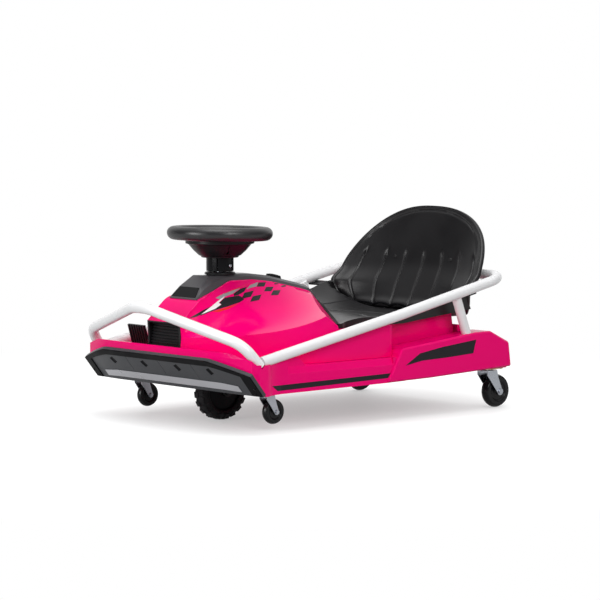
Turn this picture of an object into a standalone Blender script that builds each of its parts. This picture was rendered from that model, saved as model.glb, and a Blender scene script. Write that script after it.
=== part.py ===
"""Electric drift kart, built piece by piece.

Metres, +Z up, +X to the driver's left, the front faces -Y. Every length below is
measured from the steering axis, which stands straight over the drive wheel. The
empty "kart_datum" carries the whole kart, so that its box is centred on the origin.
"""
import math

import bmesh
import bpy
from mathutils import Matrix, Vector

# Clearances
GAP = 0.0003                 # between pieces that touch
RUN = 0.0015                 # between a turning piece and a fixed one

# Drive wheel under the steering axis
TYRE_RADIUS = 0.0750
TYRE_WIDTH = 0.0440
TREAD_BLOCKS = 18
TREAD_DEPTH = 0.0030
HUB_RADIUS = 0.0510
DRIVE_AXLE_RADIUS = 0.0060
DRIVE_AXLE_HALF = 0.0430

# Fork, shaft and head
FORK_LEG_X = 0.0270          # inner face of a fork leg
FORK_LEG_THICK = 0.0050
FORK_LEG_WIDTH = 0.0360
FORK_CROWN_Z = 0.1600
FORK_CROWN_THICK = 0.0060
SHAFT_RADIUS = 0.0120
HEAD_TUBE_OUTER = 0.0220
HEAD_TUBE_WALL = 0.0040
HEAD_TUBE_LOW = 0.1900
HEAD_TUBE_TOP = 0.3440
BEARING_HEIGHT = 0.0100
STRUT_RADIUS = 0.0080

# Steering wheel
WHEEL_RING_RADIUS = 0.1180
WHEEL_RIM_RADIUS = 0.0178
WHEEL_HEIGHT = 0.4800
WHEEL_TILT = 1.2             # degrees, rear side lower
BOSS_TOP_RADIUS = 0.0790
BOSS_LOW_RADIUS = 0.0465
BOSS_LOW_Z = 0.4180
BOSS_TOP_Z = 0.4590
BOSS_LIP_RADIUS = 0.0885
COLLAR_RADIUS = 0.0355
COLLAR_LOW_Z = 0.3830
FLANGE_RADIUS = 0.0400
FLANGE_THICK = 0.0060

# Lower tub
TUB_BOTTOM_FRONT = 0.0950
TUB_BOTTOM_REAR = 0.1120
PAN_Z = 0.1120               # inner floor of the tub
SEAM_Z = 0.1610              # where the cowl shell stands on the tub
SILL_X = 0.3100
SILL_LOW_Z = 0.1430
SILL_CHAMFER = 0.0100
FENDER_X = 0.3160
FENDER_FRONT_Y = 0.2950
FENDER_CREST_Z = 0.2105
FENDER_INNER_X = 0.2440
TUB_REAR_Y = 0.7450
LIP_Y = -0.2080              # front of the nose lip, just behind the bumper
LIP_CREST_Z = 0.2030
CORNER_X = 0.3360
CORNER_Y = -0.1500
FENDER_WALL = 0.0060
FRONT_WALL = 0.0050          # of the tub behind the bumper
CASTER_PAD_DROP = 0.0006     # flat pads under the tub stand this far below it
FOOTWELL_FLOOR_Z = 0.1250
FOOTWELL_FRONT_Y = -0.1890
FOOTWELL_OUTER_X = 0.2960
WELL_RADIUS = 0.0980         # round hole that the fork turns in

# Cowl shell
SHELL_WALL = 0.0040
NOSE_FRONT_Y = -0.1840
NOSE_FRONT_Z = 0.2620
NOSE_HALF = 0.0670
SPINE_HALF = 0.0360
SPINE_TOP_Z = 0.3590
TAIL_Y = 0.2760              # end of the straight spine
TAIL_Z = 0.3190
RIM_Y = 0.3030               # rear edge of the cowl on the centre line
RIM_Z = 0.2915
RIM_SIDE_Y = 0.1505          # the same edge at the cowl's side
RIM_SIDE_Z = 0.2517
SHOULDER_X = 0.2850
SHOULDER_FRONT_Z = 0.2285
SHOULDER_RISE = 0.0515
SHOULDER_REAR_Y = 0.1120
DECK_Z = 0.2425
WAIST_Y = 0.3340             # where the shell steps in behind the sill
WAIST_X = 0.2380
WAIST_CORNER = 0.0180
RIDGE_START_Y = 0.3900       # side ridges of the deck climb from here
RIDGE_RISE = 0.0220
SHELL_REAR_Y = 0.6110
SHELL_REAR_LEAN = 0.0130     # its rear wall leans forward at the top
FLANK_STEPS = (0.0, 0.22, 0.50, 0.76, 1.0)   # shares of the way down the cowl's flank

# Cap and spine strip on the cowl
CAP_FRONT_Y = -0.1223
CAP_THICK = 0.0160
SWITCH_FRONT_Y = 0.1630      # power switch on the spine strip
SWITCH_REAR_Y = 0.1970
SWITCH_RISE = 0.0075

# Front bumper plate
BUMPER_TOP_Y = -0.2187
BUMPER_TOP_Z = 0.1810
BUMPER_LOW_Y = -0.1480
BUMPER_LOW_Z = 0.0960
BUMPER_STRAIGHT = 0.2080     # half of its straight middle
BUMPER_HALF = 0.3370
BUMPER_THICK = 0.0090
BUMPER_SWEEP_Y = 0.0373
BUMPER_DROP_Z = 0.0321
BORDER_RAISE = 0.0030
STRIP_HALF = 0.2720
STRIP_RAISE = 0.0016
END_BAND = 0.0258            # width of the border down each end

# Grille under the nose
GRILLE_HALF = 0.0600
GRILLE_RIBS = 8
GRILLE_LOW_Z = 0.1980
GRILLE_TOP_Z = 0.2580
GRILLE_DEPTH = 0.0200
RIB_DEPTH = 0.0035
GRILLE_LEAN = 0.16

# Guard tubes
TUBE_RADIUS = 0.0136
RAIL_X = 0.3160
HOOP_TOP_Z = 0.3010
HOOP_TOP_Y = -0.2580
HOOP_BEND_X = 0.3100
HOOP_BEND_Y = -0.1815
HOOP_BEND_Z = 0.2235
HOOP_FOOT_Y = -0.1380
RAIL_MID_Y = 0.3360
RAIL_MID_Z = 0.2705
RAIL_REAR_Z = 0.3540
REAR_BAR_Y = 0.7200          # at its corners
REAR_BAR_BOW = 0.0175        # the middle of the bar stands further back
REAR_CORNER = 0.0680
POST_RADIUS = 0.0125
POST_X = 0.3000

# Chassis
FRAME_TUBE = 0.0110
FRAME_HALF = 0.1120
FRAME_FRONT_Y = -0.1050
FRAME_REAR_Y = 0.5750

# Casters: x, y of the swivel axis, wheel radius, height of the wheel's lowest point
FRONT_CASTER = {"x": 0.2550, "y": -0.0580, "wheel": 0.0318, "lift": 0.0150, "trail": 0.0190}
REAR_CASTER = {"x": 0.2690, "y": 0.7010, "wheel": 0.0445, "lift": 0.0, "trail": 0.0300}
CASTER_PLATE = 0.0025
CASTER_SIDES = 16

# Seat
SEAT_HALF = 0.2680
SEAT_TOP_Z = 0.5310
SEAT_WIDE_Z = 0.3223         # height of the widest place
SEAT_FOOT_Z = 0.2535
SEAT_WALL = 0.0110
SEAT_FLUTES = 7
FLUTE_DEPTH = 0.0035
PAD_REAR_Y = 0.6770
PAD_CUT_BACK = 0.0600        # the pad's rear corners are this much shorter
BOLSTER_RISE = 0.0710
SADDLE_X = 0.1100            # blocks between the rear bar and the seat back
SEAT_LEAN = Vector((0, 0.90, -0.43)).normalized()   # direction of the back's thickness

# Pedal, in the driver's right footwell
PEDAL_X = -0.1570
PEDAL_WIDTH = 0.0700
PEDAL_PIVOT_Y = -0.1280
PEDAL_PIVOT_Z = 0.1650
PEDAL_TOP_Z = 0.2430
PEDAL_LEAN = 16.0            # degrees, top forward
PEDAL_RIBS = 7
BRACKET_THICK = 0.0030
SPRING_WIRE = 0.0006
SPRING_RADIUS = 0.0046
SPRING_TURNS = 2.5

# Power pack
BATTERY = (0.1510, 0.0650, 0.0900)
TRAY_THICK = 0.0020
BATTERY_Y = 0.4300
SOCKET_Y = 0.5200            # charging inlet in the shell's right wall


# Scene helpers

def clear_scene():
    for old in list(bpy.data.objects):
        bpy.data.objects.remove(old, do_unlink=True)


def make_material(name, colour, roughness, metallic=0.0):
    material = bpy.data.materials.new(name)
    material.use_nodes = True
    shader = material.node_tree.nodes["Principled BSDF"]
    shader.inputs["Base Color"].default_value = (*colour, 1.0)
    shader.inputs["Roughness"].default_value = roughness
    shader.inputs["Metallic"].default_value = metallic
    return material


FRAMES = {}


def add_frame(name, place, parent=None):
    """An empty at a place given from the steering axis; pieces hang on it."""
    frame = bpy.data.objects.new(name, None)
    bpy.context.scene.collection.objects.link(frame)
    FRAMES[name] = Vector(place)
    if parent:
        frame.parent = bpy.data.objects[parent]
        frame.location = FRAMES[name] - FRAMES[parent]
    else:
        frame.location = place
    return frame


def add_piece(name, mesh, material, frame="kart_datum", smooth=30.0):
    """Hang a mesh, drawn from the steering axis, on one of the frames."""
    mesh.name = name
    obj = bpy.data.objects.new(name, mesh)
    bpy.context.scene.collection.objects.link(obj)
    if frame != "kart_datum":
        mesh.transform(Matrix.Translation(-FRAMES[frame]))
    obj.parent = bpy.data.objects[frame]
    mesh.materials.clear()
    mesh.materials.append(material)
    mesh.shade_smooth()
    mesh.set_sharp_from_angle(angle=math.radians(smooth))
    return obj


def copy_piece(name, source, frame):
    """A second piece of the same mesh on another frame."""
    obj = bpy.data.objects.new(name, source.data)
    bpy.context.scene.collection.objects.link(obj)
    obj.parent = bpy.data.objects[frame]
    return obj


# Mesh helpers

def is_flat(face):
    middle = face.calc_center_median()
    return all(abs((v.co - middle).dot(face.normal)) < 2e-6 for v in face.verts)


def mesh_from(verts, faces):
    mesh = bpy.data.meshes.new("shape")
    mesh.from_pydata([tuple(v) for v in verts], [], faces)
    shape = bmesh.new()
    shape.from_mesh(mesh)
    bmesh.ops.remove_doubles(shape, verts=shape.verts, dist=1e-6)
    bmesh.ops.recalc_face_normals(shape, faces=shape.faces)
    warped = [f for f in shape.faces if not is_flat(f)]
    bmesh.ops.triangulate(shape, faces=warped, quad_method="SHORT_EDGE")
    if shape.calc_volume(signed=True) < 0:
        bmesh.ops.reverse_faces(shape, faces=shape.faces)
    shape.to_mesh(mesh)
    shape.free()
    return mesh


def mirror_bands(ring):
    """Split a mirrored end into bands that run straight across from side to side."""
    count = len(ring)
    levels = [[0]]
    for i in range(1, count // 2 + 1):
        step = ring[i] - ring[levels[-1][0]]
        if abs(step.y) + abs(step.z) < 1e-7:
            levels[-1].append(i)
        else:
            levels.append([i])
    bands = []
    for upper, lower in zip(levels, levels[1:]):
        near = upper + lower
        far = [(count - i) % count for i in reversed(near)]
        bands.append(list(dict.fromkeys(near + far)))
    return bands


def half_caps(ring):
    """Split a mirrored end down its middle."""
    count = len(ring)
    middle = count // 2
    return [list(range(middle + 1)), list(range(middle, count)) + [0]]


def loft(rings, caps=(None, None)):
    """A closed skin over rings of equal count. Mirrored rings can take split end caps."""
    count = len(rings[0])
    verts = [point for ring in rings for point in ring]
    faces = []
    for first, ring, split in ((0, rings[0], caps[0]), ((len(rings) - 1) * count, rings[-1], caps[1])):
        bands = split(ring) if split else [list(range(count))]
        faces += [tuple(first + i for i in band) for band in bands]
    for r in range(len(rings) - 1):
        for i in range(count):
            j = (i + 1) % count
            faces.append((r * count + i, r * count + j, (r + 1) * count + j, (r + 1) * count + i))
    return mesh_from(verts, faces)


def prism(outline, low, high, plane="XY"):
    """A flat outline drawn in one plane and run along the third axis."""
    def point(a, b, c):
        return {"XY": (a, b, c), "YZ": (c, a, b), "XZ": (a, c, b)}[plane]
    return loft([[point(a, b, low) for a, b in outline], [point(a, b, high) for a, b in outline]])


def turned(profile, sides, centre=(0, 0, 0), axis="Z", offset=0.0):
    """A closed outline of (radius, height) turned about an axis through centre."""
    verts = []
    faces = []
    count = len(profile)
    for s in range(sides):
        angle = 2 * math.pi * (s + offset) / sides
        for radius, height in profile:
            a = radius * math.cos(angle)
            b = radius * math.sin(angle)
            spot = {"Z": (a, b, height), "X": (height, a, b), "Y": (b, height, a)}[axis]
            verts.append(Vector(spot) + Vector(centre))
    for s in range(sides):
        t = (s + 1) % sides
        for i in range(count):
            j = (i + 1) % count
            if profile[i][0] == 0 and profile[j][0] == 0:
                continue
            faces.append((s * count + i, s * count + j, t * count + j, t * count + i))
    return mesh_from(verts, faces)


def drum(radius, low, high, sides=24, centre=(0, 0, 0), axis="Z", edge=0.0, offset=0.0):
    """A round bar or disc, with a small turned edge where one is given."""
    profile = [(0, low), (radius - edge, low), (radius, low + edge),
               (radius, high - edge), (radius - edge, high), (0, high)]
    if not edge:
        profile = [(0, low), (radius, low), (radius, high), (0, high)]
    return turned(profile, sides, centre, axis, offset)


def ring_part(inner, outer, low, high, sides=24, centre=(0, 0, 0), axis="Z"):
    profile = [(inner, low), (outer, low), (outer, high), (inner, high)]
    return turned(profile, sides, centre, axis)


def bent(corners, radius, facet=17.0):
    """A path with straight runs, and an arc of the given radius at each inner corner.

    Each arc is drawn in steps of about the given number of degrees."""
    points = [Vector(corners[0])]
    for k in range(1, len(corners) - 1):
        here = Vector(corners[k])
        back = (Vector(corners[k - 1]) - here)
        ahead = (Vector(corners[k + 1]) - here)
        turn = math.pi - back.angle(ahead)
        size = radius[k - 1] if isinstance(radius, (list, tuple)) else radius
        reach = min(size * math.tan(turn / 2), 0.48 * min(back.length, ahead.length))
        size = reach / math.tan(turn / 2)
        start = here + back.normalized() * reach
        middle = (back.normalized() + ahead.normalized()).normalized()
        centre = here + middle * math.hypot(size, reach)
        first = start - centre
        steps = max(1, round(math.degrees(turn) / facet))
        normal = first.cross(here + ahead.normalized() * reach - centre).normalized()
        for s in range(steps + 1):
            points.append(centre + Matrix.Rotation(turn * s / steps, 3, normal) @ first)
    points.append(Vector(corners[-1]))
    return points


def carried_sides(path, twin):
    """A tangent and a sideways direction at each point, carried along without twist.

    On a path that is its own mirror image they start from its middle."""
    count = len(path)
    ahead = [(path[min(k + 1, count - 1)] - path[max(k - 1, 0)]).normalized() for k in range(count)]
    runs = [range(count // 2, count), range((count - 1) // 2, -1, -1)] if twin else [range(count)]
    sides = [None] * count
    for run in runs:
        side = Vector((0, 0, 1)) if abs(ahead[run[0]].z) < 0.9 else Vector((0, 1, 0))
        for k in run:
            side = (side - ahead[k] * side.dot(ahead[k])).normalized()
            sides[k] = side
    return ahead, sides


def tube(path, radius, sides=12, twin=False):
    """A round bar along a path, its rings square to it."""
    rings = []
    tangents, carried = carried_sides(path, twin)
    for k, point in enumerate(path):
        ahead = tangents[k]
        side = carried[k]
        up = ahead.cross(side)
        stretch = 1.0
        if 0 < k < len(path) - 1:
            half = (path[k + 1] - point).angle(point - path[k - 1]) / 2
            stretch = 1.0 / math.cos(half)
        bend = None
        if stretch > 1.0001:
            bend = ((path[k + 1] - point).normalized() - (point - path[k - 1]).normalized())
            bend = bend.normalized()
        ring = []
        for s in range(sides):
            angle = 2 * math.pi * s / sides
            arm = (side * math.cos(angle) + up * math.sin(angle)) * radius
            if bend is not None:
                arm += bend * arm.dot(bend) * (stretch - 1.0)
            ring.append(point + arm)
        rings.append(ring)
    return loft(rings)


def guard_tube(path, grow=0.0):
    """The guard's tube along a path that runs from one side of the kart to the other."""
    return tube(path, TUBE_RADIUS + grow, 12, True)


def evaluated(obj):
    graph = bpy.context.evaluated_depsgraph_get()
    return bpy.data.meshes.new_from_object(obj.evaluated_get(graph))


def combine(mesh, tools, operation="DIFFERENCE"):
    """Cut or join solids one after another and return the plain mesh."""
    base = bpy.data.objects.new("base", mesh)
    bpy.context.scene.collection.objects.link(base)
    for other in tools:
        tool = bpy.data.objects.new("tool", other)
        bpy.context.scene.collection.objects.link(tool)
        tool.hide_render = True
        tool.display_type = "WIRE"
        step = base.modifiers.new("step", "BOOLEAN")
        step.operation = operation
        step.solver = "EXACT"
        step.object = tool
        result = evaluated(base)
        base.modifiers.remove(step)
        bpy.data.objects.remove(tool, do_unlink=True)
        base.data = result
    mesh = base.data
    bpy.data.objects.remove(base, do_unlink=True)
    return mesh


def softened(mesh, width, segments=1, angle=35.0):
    """The solid with its sharp edges broken."""
    base = bpy.data.objects.new("base", mesh)
    bpy.context.scene.collection.objects.link(base)
    bevel = base.modifiers.new("edges", "BEVEL")
    bevel.width = width
    bevel.segments = segments
    bevel.limit_method = "ANGLE"
    bevel.angle_limit = math.radians(angle)
    bevel.use_clamp_overlap = True
    result = evaluated(base)
    bpy.data.objects.remove(base, do_unlink=True)
    return result


def moved(mesh, matrix):
    mesh.transform(matrix)
    if matrix.determinant() < 0:
        mesh.flip_normals()
    return mesh


def mirrored(mesh):
    """The same piece for the other side of the kart."""
    return moved(mesh.copy(), Matrix.Scale(-1, 4, (1, 0, 0)))


def blend(a, b, t):
    return a + (b - a) * t


def along(value, knots):
    """Read a height or half width off straight runs between (place, value) knots."""
    for (a, va), (b, vb) in zip(knots, knots[1:]):
        if value <= b:
            return blend(va, vb, max(0.0, (value - a) / (b - a)))
    return knots[-1][1]


def patch(surface, us, ts, front, back, keep=lambda i, j: True):
    """A solid of even depth over the kept cells of a surface net."""
    rows = len(us)
    cols = len(ts)
    verts = [surface(u, t, front) for u in us for t in ts]
    verts += [surface(u, t, back) for u in us for t in ts]
    shift = rows * cols
    kept = {(i, j) for i in range(rows - 1) for j in range(cols - 1) if keep(i, j)}
    faces = []
    for i, j in kept:
        a, b = i * cols + j, i * cols + j + 1
        c, d = (i + 1) * cols + j + 1, (i + 1) * cols + j
        faces.append((a, b, c, d))
        faces.append((shift + d, shift + c, shift + b, shift + a))
        for (p, q), near in (((a, b), (i - 1, j)), ((b, c), (i, j + 1)),
                             ((c, d), (i + 1, j)), ((d, a), (i, j - 1))):
            if near not in kept:
                faces.append((q, p, shift + p, shift + q))
    used = sorted({v for face in faces for v in face})
    place = {v: k for k, v in enumerate(used)}
    return mesh_from([verts[v] for v in used], [tuple(place[v] for v in f) for f in faces])


# Shapes that several pieces share

def rim_at(x):
    """Place and height of the cowl's rear edge, swept forward towards the sides."""
    out = max(0.0, abs(x) - SPINE_HALF) / (SHOULDER_X - SPINE_HALF)
    return blend(RIM_Y, RIM_SIDE_Y, out), blend(RIM_Z, RIM_SIDE_Z, out)


def ridge_z(y):
    """Top of the seat deck's side ridges, which climb to the rear."""
    return DECK_Z + RIDGE_RISE * max(0.0, (y - RIDGE_START_Y) / (SHELL_REAR_Y - RIDGE_START_Y))


def spine_half(y):
    """Half width of the cowl's flat top: wide at the nose, slim along the spine."""
    return along(y, [(NOSE_FRONT_Y, NOSE_HALF), (CAP_FRONT_Y, NOSE_HALF), (0.0, SPINE_HALF),
                     (TAIL_Y, SPINE_HALF)])


def spine_z(y):
    """Height of the cowl's flat top."""
    hood = blend(NOSE_FRONT_Z, SPINE_TOP_Z, 0.56)
    return along(y, [(NOSE_FRONT_Y, NOSE_FRONT_Z), (CAP_FRONT_Y, hood),
                     (0.0, SPINE_TOP_Z), (0.075, SPINE_TOP_Z), (0.140, blend(TAIL_Z, SPINE_TOP_Z, 0.80)),
                     (0.240, blend(TAIL_Z, SPINE_TOP_Z, 0.24)), (TAIL_Y, TAIL_Z), (RIM_Y, RIM_Z)])


def shoulder(part):
    """Plan place and height of the crease, from the nose (0) to the rear edge (1)."""
    nose_y = NOSE_FRONT_Y + 0.004
    x = blend(NOSE_HALF, SHOULDER_X, math.sin(math.pi / 2 * part))
    y = blend(nose_y, SHOULDER_REAR_Y, part)
    z = SHOULDER_FRONT_Z + SHOULDER_RISE * part ** 2
    return x, y, z


def cowl_ring(part, inset, low):
    """One cross line of the cowl: centre, spine edge, hollow flank, crease, foot."""
    y_spine = blend(NOSE_FRONT_Y, TAIL_Y, part)
    x_edge = spine_half(y_spine)
    z_edge = spine_z(y_spine)
    x_out, y_out, z_out = shoulder(part)
    half = []
    for s in FLANK_STEPS:
        x = blend(x_edge, x_out, s) - inset
        y = blend(y_spine, y_out, s)
        z = blend(z_out, z_edge, (1.0 - s) ** 1.8) - inset
        half.append(Vector((x, y, z)))
    half[-1].z -= 0.002
    foot = Vector((x_out - inset, y_out, low))
    if part < 0.001:
        foot.y = y_out - 0.006
    half.append(foot)
    return [Vector((0, y_spine, z_edge - inset))] + half


def both_sides(half):
    """Close a half line from the centre out over to the other side."""
    other = [Vector((-p.x, p.y, p.z)) for p in reversed(half[1:])]
    return half + [Vector((0, half[-1].y, half[-1].z))] + other


def deck_ring(y, x_out, inset, low, lean=0.0):
    """One cross line of the deck, with a narrow ridge at each side."""
    z = DECK_Z - inset
    half = [Vector((0, y - lean, z))]
    for s in (0.0, 0.33, 0.66, 0.95):
        half.append(Vector((blend(SPINE_HALF, x_out, s) - inset, y - lean, z)))
    y_top = y - lean * (ridge_z(y - lean) - low) / (DECK_Z - low)
    half.append(Vector((x_out - inset, y_top, ridge_z(y_top) - inset)))
    half.append(Vector((x_out - inset, y, low)))
    return half


def rim_ring(inset, low, back, on_deck):
    """The cowl's rear edge, or the same line let down onto the deck."""
    half = [Vector((0, RIM_Y, RIM_Z))]
    for s in FLANK_STEPS:
        x = blend(SPINE_HALF, SHOULDER_X, s)
        y, z = rim_at(x)
        half.append(Vector((x - inset, y, z)))
    for point in half:
        point.y += back - inset
        point.z = (DECK_Z if on_deck else point.z) - inset
    half.append(Vector((half[-1].x, half[-1].y, low)))
    return half


def cowl_parts():
    """Shares along the cowl where its spine changes slope, from the nose to the tail."""
    stations = (NOSE_FRONT_Y, CAP_FRONT_Y, CAP_FRONT_Y / 2, 0.0, 0.075, 0.140, 0.240, TAIL_Y)
    return [(y - NOSE_FRONT_Y) / (TAIL_Y - NOSE_FRONT_Y) for y in stations]


def shell_footprint(gap):
    """Plan outline of the shell where it stands on the tub, grown by a gap."""
    half = [(NOSE_HALF + gap, NOSE_FRONT_Y - 0.002 - gap)]
    for part in cowl_parts()[1:]:
        x, y, _ = shoulder(part)
        half.append((x + gap, y - gap))
    for step in range(4):
        x, y = waist_corner(step)
        half.append((x + gap, y + gap))
    half += [(WAIST_X + gap, WAIST_Y + WAIST_CORNER * 0.8 + 0.0004 + gap), (WAIST_X + gap, SHELL_REAR_Y + RUN)]
    return half + [(-x, y) for x, y in reversed(half)]


def waist_corner(step):
    """Rounded corner where the shell steps in behind the sill, in four points."""
    turn = math.pi / 2 * step / 3
    x = blend(SHOULDER_X - WAIST_CORNER, SHOULDER_X, math.cos(turn))
    return x, WAIST_Y + WAIST_CORNER * (math.sin(turn) - 0.2)


def cowl_solid(inset, low, first=0):
    """The cowl and the seat deck as one lofted solid, drawn in by a wall."""
    rings = []
    for part in cowl_parts()[first:]:
        rings.append(cowl_ring(part, inset, low))
    rings.append(rim_ring(inset, low, 0.0, False))
    rings.append(rim_ring(inset, low, 0.003, True))
    rings.append(deck_ring(WAIST_Y - inset - WAIST_CORNER * 0.3, SHOULDER_X, inset, low))
    for step in range(4):
        x, y = waist_corner(step)
        rings.append(deck_ring(y - inset, x, inset, low))
    rings.append(deck_ring(WAIST_Y - inset + WAIST_CORNER * 0.8 + 0.0004, WAIST_X, inset, low))
    rings.append(deck_ring(RIDGE_START_Y, WAIST_X, inset, low))
    rings.append(deck_ring(SHELL_REAR_Y - inset, WAIST_X, inset, low, SHELL_REAR_LEAN))
    return loft([both_sides(ring) for ring in rings], (mirror_bands, half_caps))


def bumper_skin(u, t, depth):
    """The bumper's ruled face: u across in metres, t from top (0) to bottom (1)."""
    side = 1 if u >= 0 else -1
    out = max(0.0, abs(u) - BUMPER_STRAIGHT) / (BUMPER_HALF - BUMPER_STRAIGHT)
    top = Vector((u, BUMPER_TOP_Y + BUMPER_SWEEP_Y * out ** 1.3, BUMPER_TOP_Z - BUMPER_DROP_Z * out ** 1.2))
    low = Vector((side * min(abs(u), BUMPER_HALF), BUMPER_LOW_Y + 0.010 * out ** 2, BUMPER_LOW_Z))
    run = Vector((0, BUMPER_LOW_Y - BUMPER_TOP_Y, BUMPER_LOW_Z - BUMPER_TOP_Z))
    normal = Vector((0, -run.z, run.y)).normalized()
    return top.lerp(low, t) + normal * depth


def bumper_columns(reach):
    """Places across the bumper where its face is creased, out to the given reach."""
    half = [BUMPER_STRAIGHT, (BUMPER_STRAIGHT + STRIP_HALF) / 2, STRIP_HALF, BUMPER_HALF - END_BAND, BUMPER_HALF]
    half = [u for u in half if u < reach + 1e-6]
    return [-u for u in reversed(half)] + half


# Body pieces

def bottom_z(y):
    """Underside of the tub, a shallow rising line."""
    return along(y, [(-0.118, TUB_BOTTOM_FRONT), (0.302, TUB_BOTTOM_FRONT + 0.003),
                     (0.444, TUB_BOTTOM_FRONT + 0.006), (TUB_REAR_Y, TUB_BOTTOM_REAR)])


def lower_tub():
    """Pan, sills, fenders and nose lip: plan outline and side outline crossed."""
    plan = [(0, LIP_Y), (BUMPER_STRAIGHT, LIP_Y), (CORNER_X - 0.006, LIP_Y + BUMPER_SWEEP_Y),
            (CORNER_X, CORNER_Y), (CORNER_X - 0.005, CORNER_Y + 0.034), (SILL_X + 0.007, CORNER_Y + 0.056),
            (SILL_X, CORNER_Y + 0.090), (SILL_X, FENDER_FRONT_Y + 0.1),
            (FENDER_INNER_X, FENDER_FRONT_Y + 0.1), (FENDER_INNER_X, TUB_REAR_Y), (0, TUB_REAR_Y)]
    outline = plan + [(-x, y) for x, y in reversed(plan[1:-1])]
    rise = LIP_CREST_Z - SEAM_Z
    side = [(LIP_Y - 0.05, TUB_BOTTOM_FRONT), (LIP_Y - 0.05, LIP_CREST_Z - 0.004),
            (LIP_Y + 0.001, LIP_CREST_Z - 0.004), (LIP_Y + 0.006, LIP_CREST_Z), (LIP_Y + 0.018, LIP_CREST_Z - 0.001),
            (-0.158, SEAM_Z + rise * 0.33), (-0.120, SEAM_Z + rise * 0.28), (-0.020, SEAM_Z + rise * 0.52),
            (0.010, SEAM_Z + rise * 0.43), (0.030, SEAM_Z), (SHELL_REAR_Y + RUN, SEAM_Z),
            (SHELL_REAR_Y + RUN, 0.2270), (0.6220, 0.2255), (0.6400, 0.2120), (0.6590, 0.2020),
            (TUB_REAR_Y - 0.008, SEAM_Z + 0.018)]
    for y in (TUB_REAR_Y, 0.444, 0.302, -0.118):
        side.append((y, bottom_z(y)))
    tub = combine(prism(outline, 0.05, 0.30), [prism(side, -0.4, 0.4, "YZ")], "INTERSECT")
    fender = softened(prism(fender_outline(0.0), FENDER_INNER_X - 0.0015, FENDER_X, "YZ"), 0.004)
    pads = []
    for caster, drop in ((FRONT_CASTER, CASTER_PAD_DROP), (REAR_CASTER, CASTER_PAD_DROP)):
        reach = caster["wheel"] * 0.80
        low = pad_z(caster)
        pads.append(prism([(caster["x"] - reach, caster["y"] - reach), (caster["x"] + reach, caster["y"] - reach),
                           (caster["x"] + reach, caster["y"] + reach), (caster["x"] - reach, caster["y"] + reach)],
                          low, 0.116 + drop))
    added = [fender] + pads
    tub = combine(tub, added + [mirrored(mesh) for mesh in added], "UNION")
    ahead = bumper_space(BUMPER_THICK + GAP)
    chamfer = [(SILL_X + 0.01, SILL_LOW_Z - 0.018), (SILL_X + 0.01, SEAM_Z + 0.04),
               (SILL_X - SILL_CHAMFER, SEAM_Z + 0.04), (SILL_X - SILL_CHAMFER, SEAM_Z), (SILL_X, SILL_LOW_Z)]
    chamfer = prism(chamfer, -0.037, FENDER_FRONT_Y + 0.024, "XZ")
    hollow = []
    for k in range(1, 10):
        x, y, _ = shoulder(k / 9)
        hollow.append((x - 0.011, y + 0.006))
    hollow += [(SHOULDER_X - 0.010, WAIST_Y - 0.012), (WAIST_X - 0.008, WAIST_Y + 0.006),
               (WAIST_X - 0.008, SHELL_REAR_Y - 0.012)]
    hollow = hollow + [(-x, y) for x, y in reversed(hollow)]
    cuts = [ahead, chamfer, mirrored(chamfer), prism(hollow, PAN_Z, SEAM_Z + 0.05),
            drum(WELL_RADIUS, 0.05, SEAM_Z + 0.05, 28), prism(shell_footprint(GAP), SEAM_Z, SEAM_Z + 0.12)]
    cuts += footwell_cuts()
    for y_low, y_high in ((0.362, 0.482), (0.494, 0.640)):
        pocket = [(y_low, 0.05), (y_low, fender_top(y_low) - FENDER_WALL),
                  (y_high, fender_top(y_high) - FENDER_WALL), (y_high, 0.05)]
        pocket = prism(pocket, FENDER_INNER_X + FENDER_WALL, FENDER_X - FENDER_WALL, "YZ")
        cuts += [pocket, mirrored(pocket)]
    tub = combine(tub, cuts)
    saddles = [guard_tube(extend(hoop_path(), 0.004), GAP), guard_tube(rail_path(), GAP)]
    return combine(tub, saddles)


def bumper_space(depth):
    """Everything ahead of a face that lies the given depth behind the bumper's front."""
    across = [-BUMPER_HALF - 0.03] + bumper_columns(BUMPER_HALF) + [BUMPER_HALF + 0.03]
    return patch(bumper_skin, across, [-0.25, 0.5, 1.6], -0.06, depth)


def fender_outline(lift):
    """Side view of a fender, raised by a clearance."""
    return [(FENDER_FRONT_Y, bottom_z(FENDER_FRONT_Y) + 0.001), (FENDER_FRONT_Y + 0.052, 0.1830 + lift),
            (0.611, FENDER_CREST_Z - 0.0008 + lift), (0.667, FENDER_CREST_Z + lift), (0.737, 0.1775 + lift),
            (TUB_REAR_Y + 0.001, TUB_BOTTOM_REAR + 0.0006), (0.444, bottom_z(0.444) + 0.0002)]


def fender_top(y):
    return along(y, [(FENDER_FRONT_Y + 0.052, 0.1830), (0.611, FENDER_CREST_Z - 0.0008),
                     (0.667, FENDER_CREST_Z), (0.737, 0.1775)])


def pad_z(caster):
    """Flat seat for a caster plate, just under the lowest nearby part of the tub."""
    return bottom_z(caster["y"] - caster["wheel"] * 0.8) - CASTER_PAD_DROP


def footwell_cuts():
    """Space for each foot: behind the lip, outside the cowl's flank."""
    inner = []
    for k in range(6):
        x, y, _ = shoulder(k / 9)
        inner.append((x + RUN, y - RUN))
    inner[0] = (inner[0][0], FOOTWELL_FRONT_Y)
    outline = inner + [(FOOTWELL_OUTER_X, inner[-1][1]), (FOOTWELL_OUTER_X, -0.150),
                       (FOOTWELL_OUTER_X - 0.040, FOOTWELL_FRONT_Y + 0.010), (0.215, FOOTWELL_FRONT_Y)]
    left = combine(prism(outline, FOOTWELL_FLOOR_Z, 0.35), [bumper_space(BUMPER_THICK + FRONT_WALL)])
    return [left, mirrored(left)]


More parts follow.
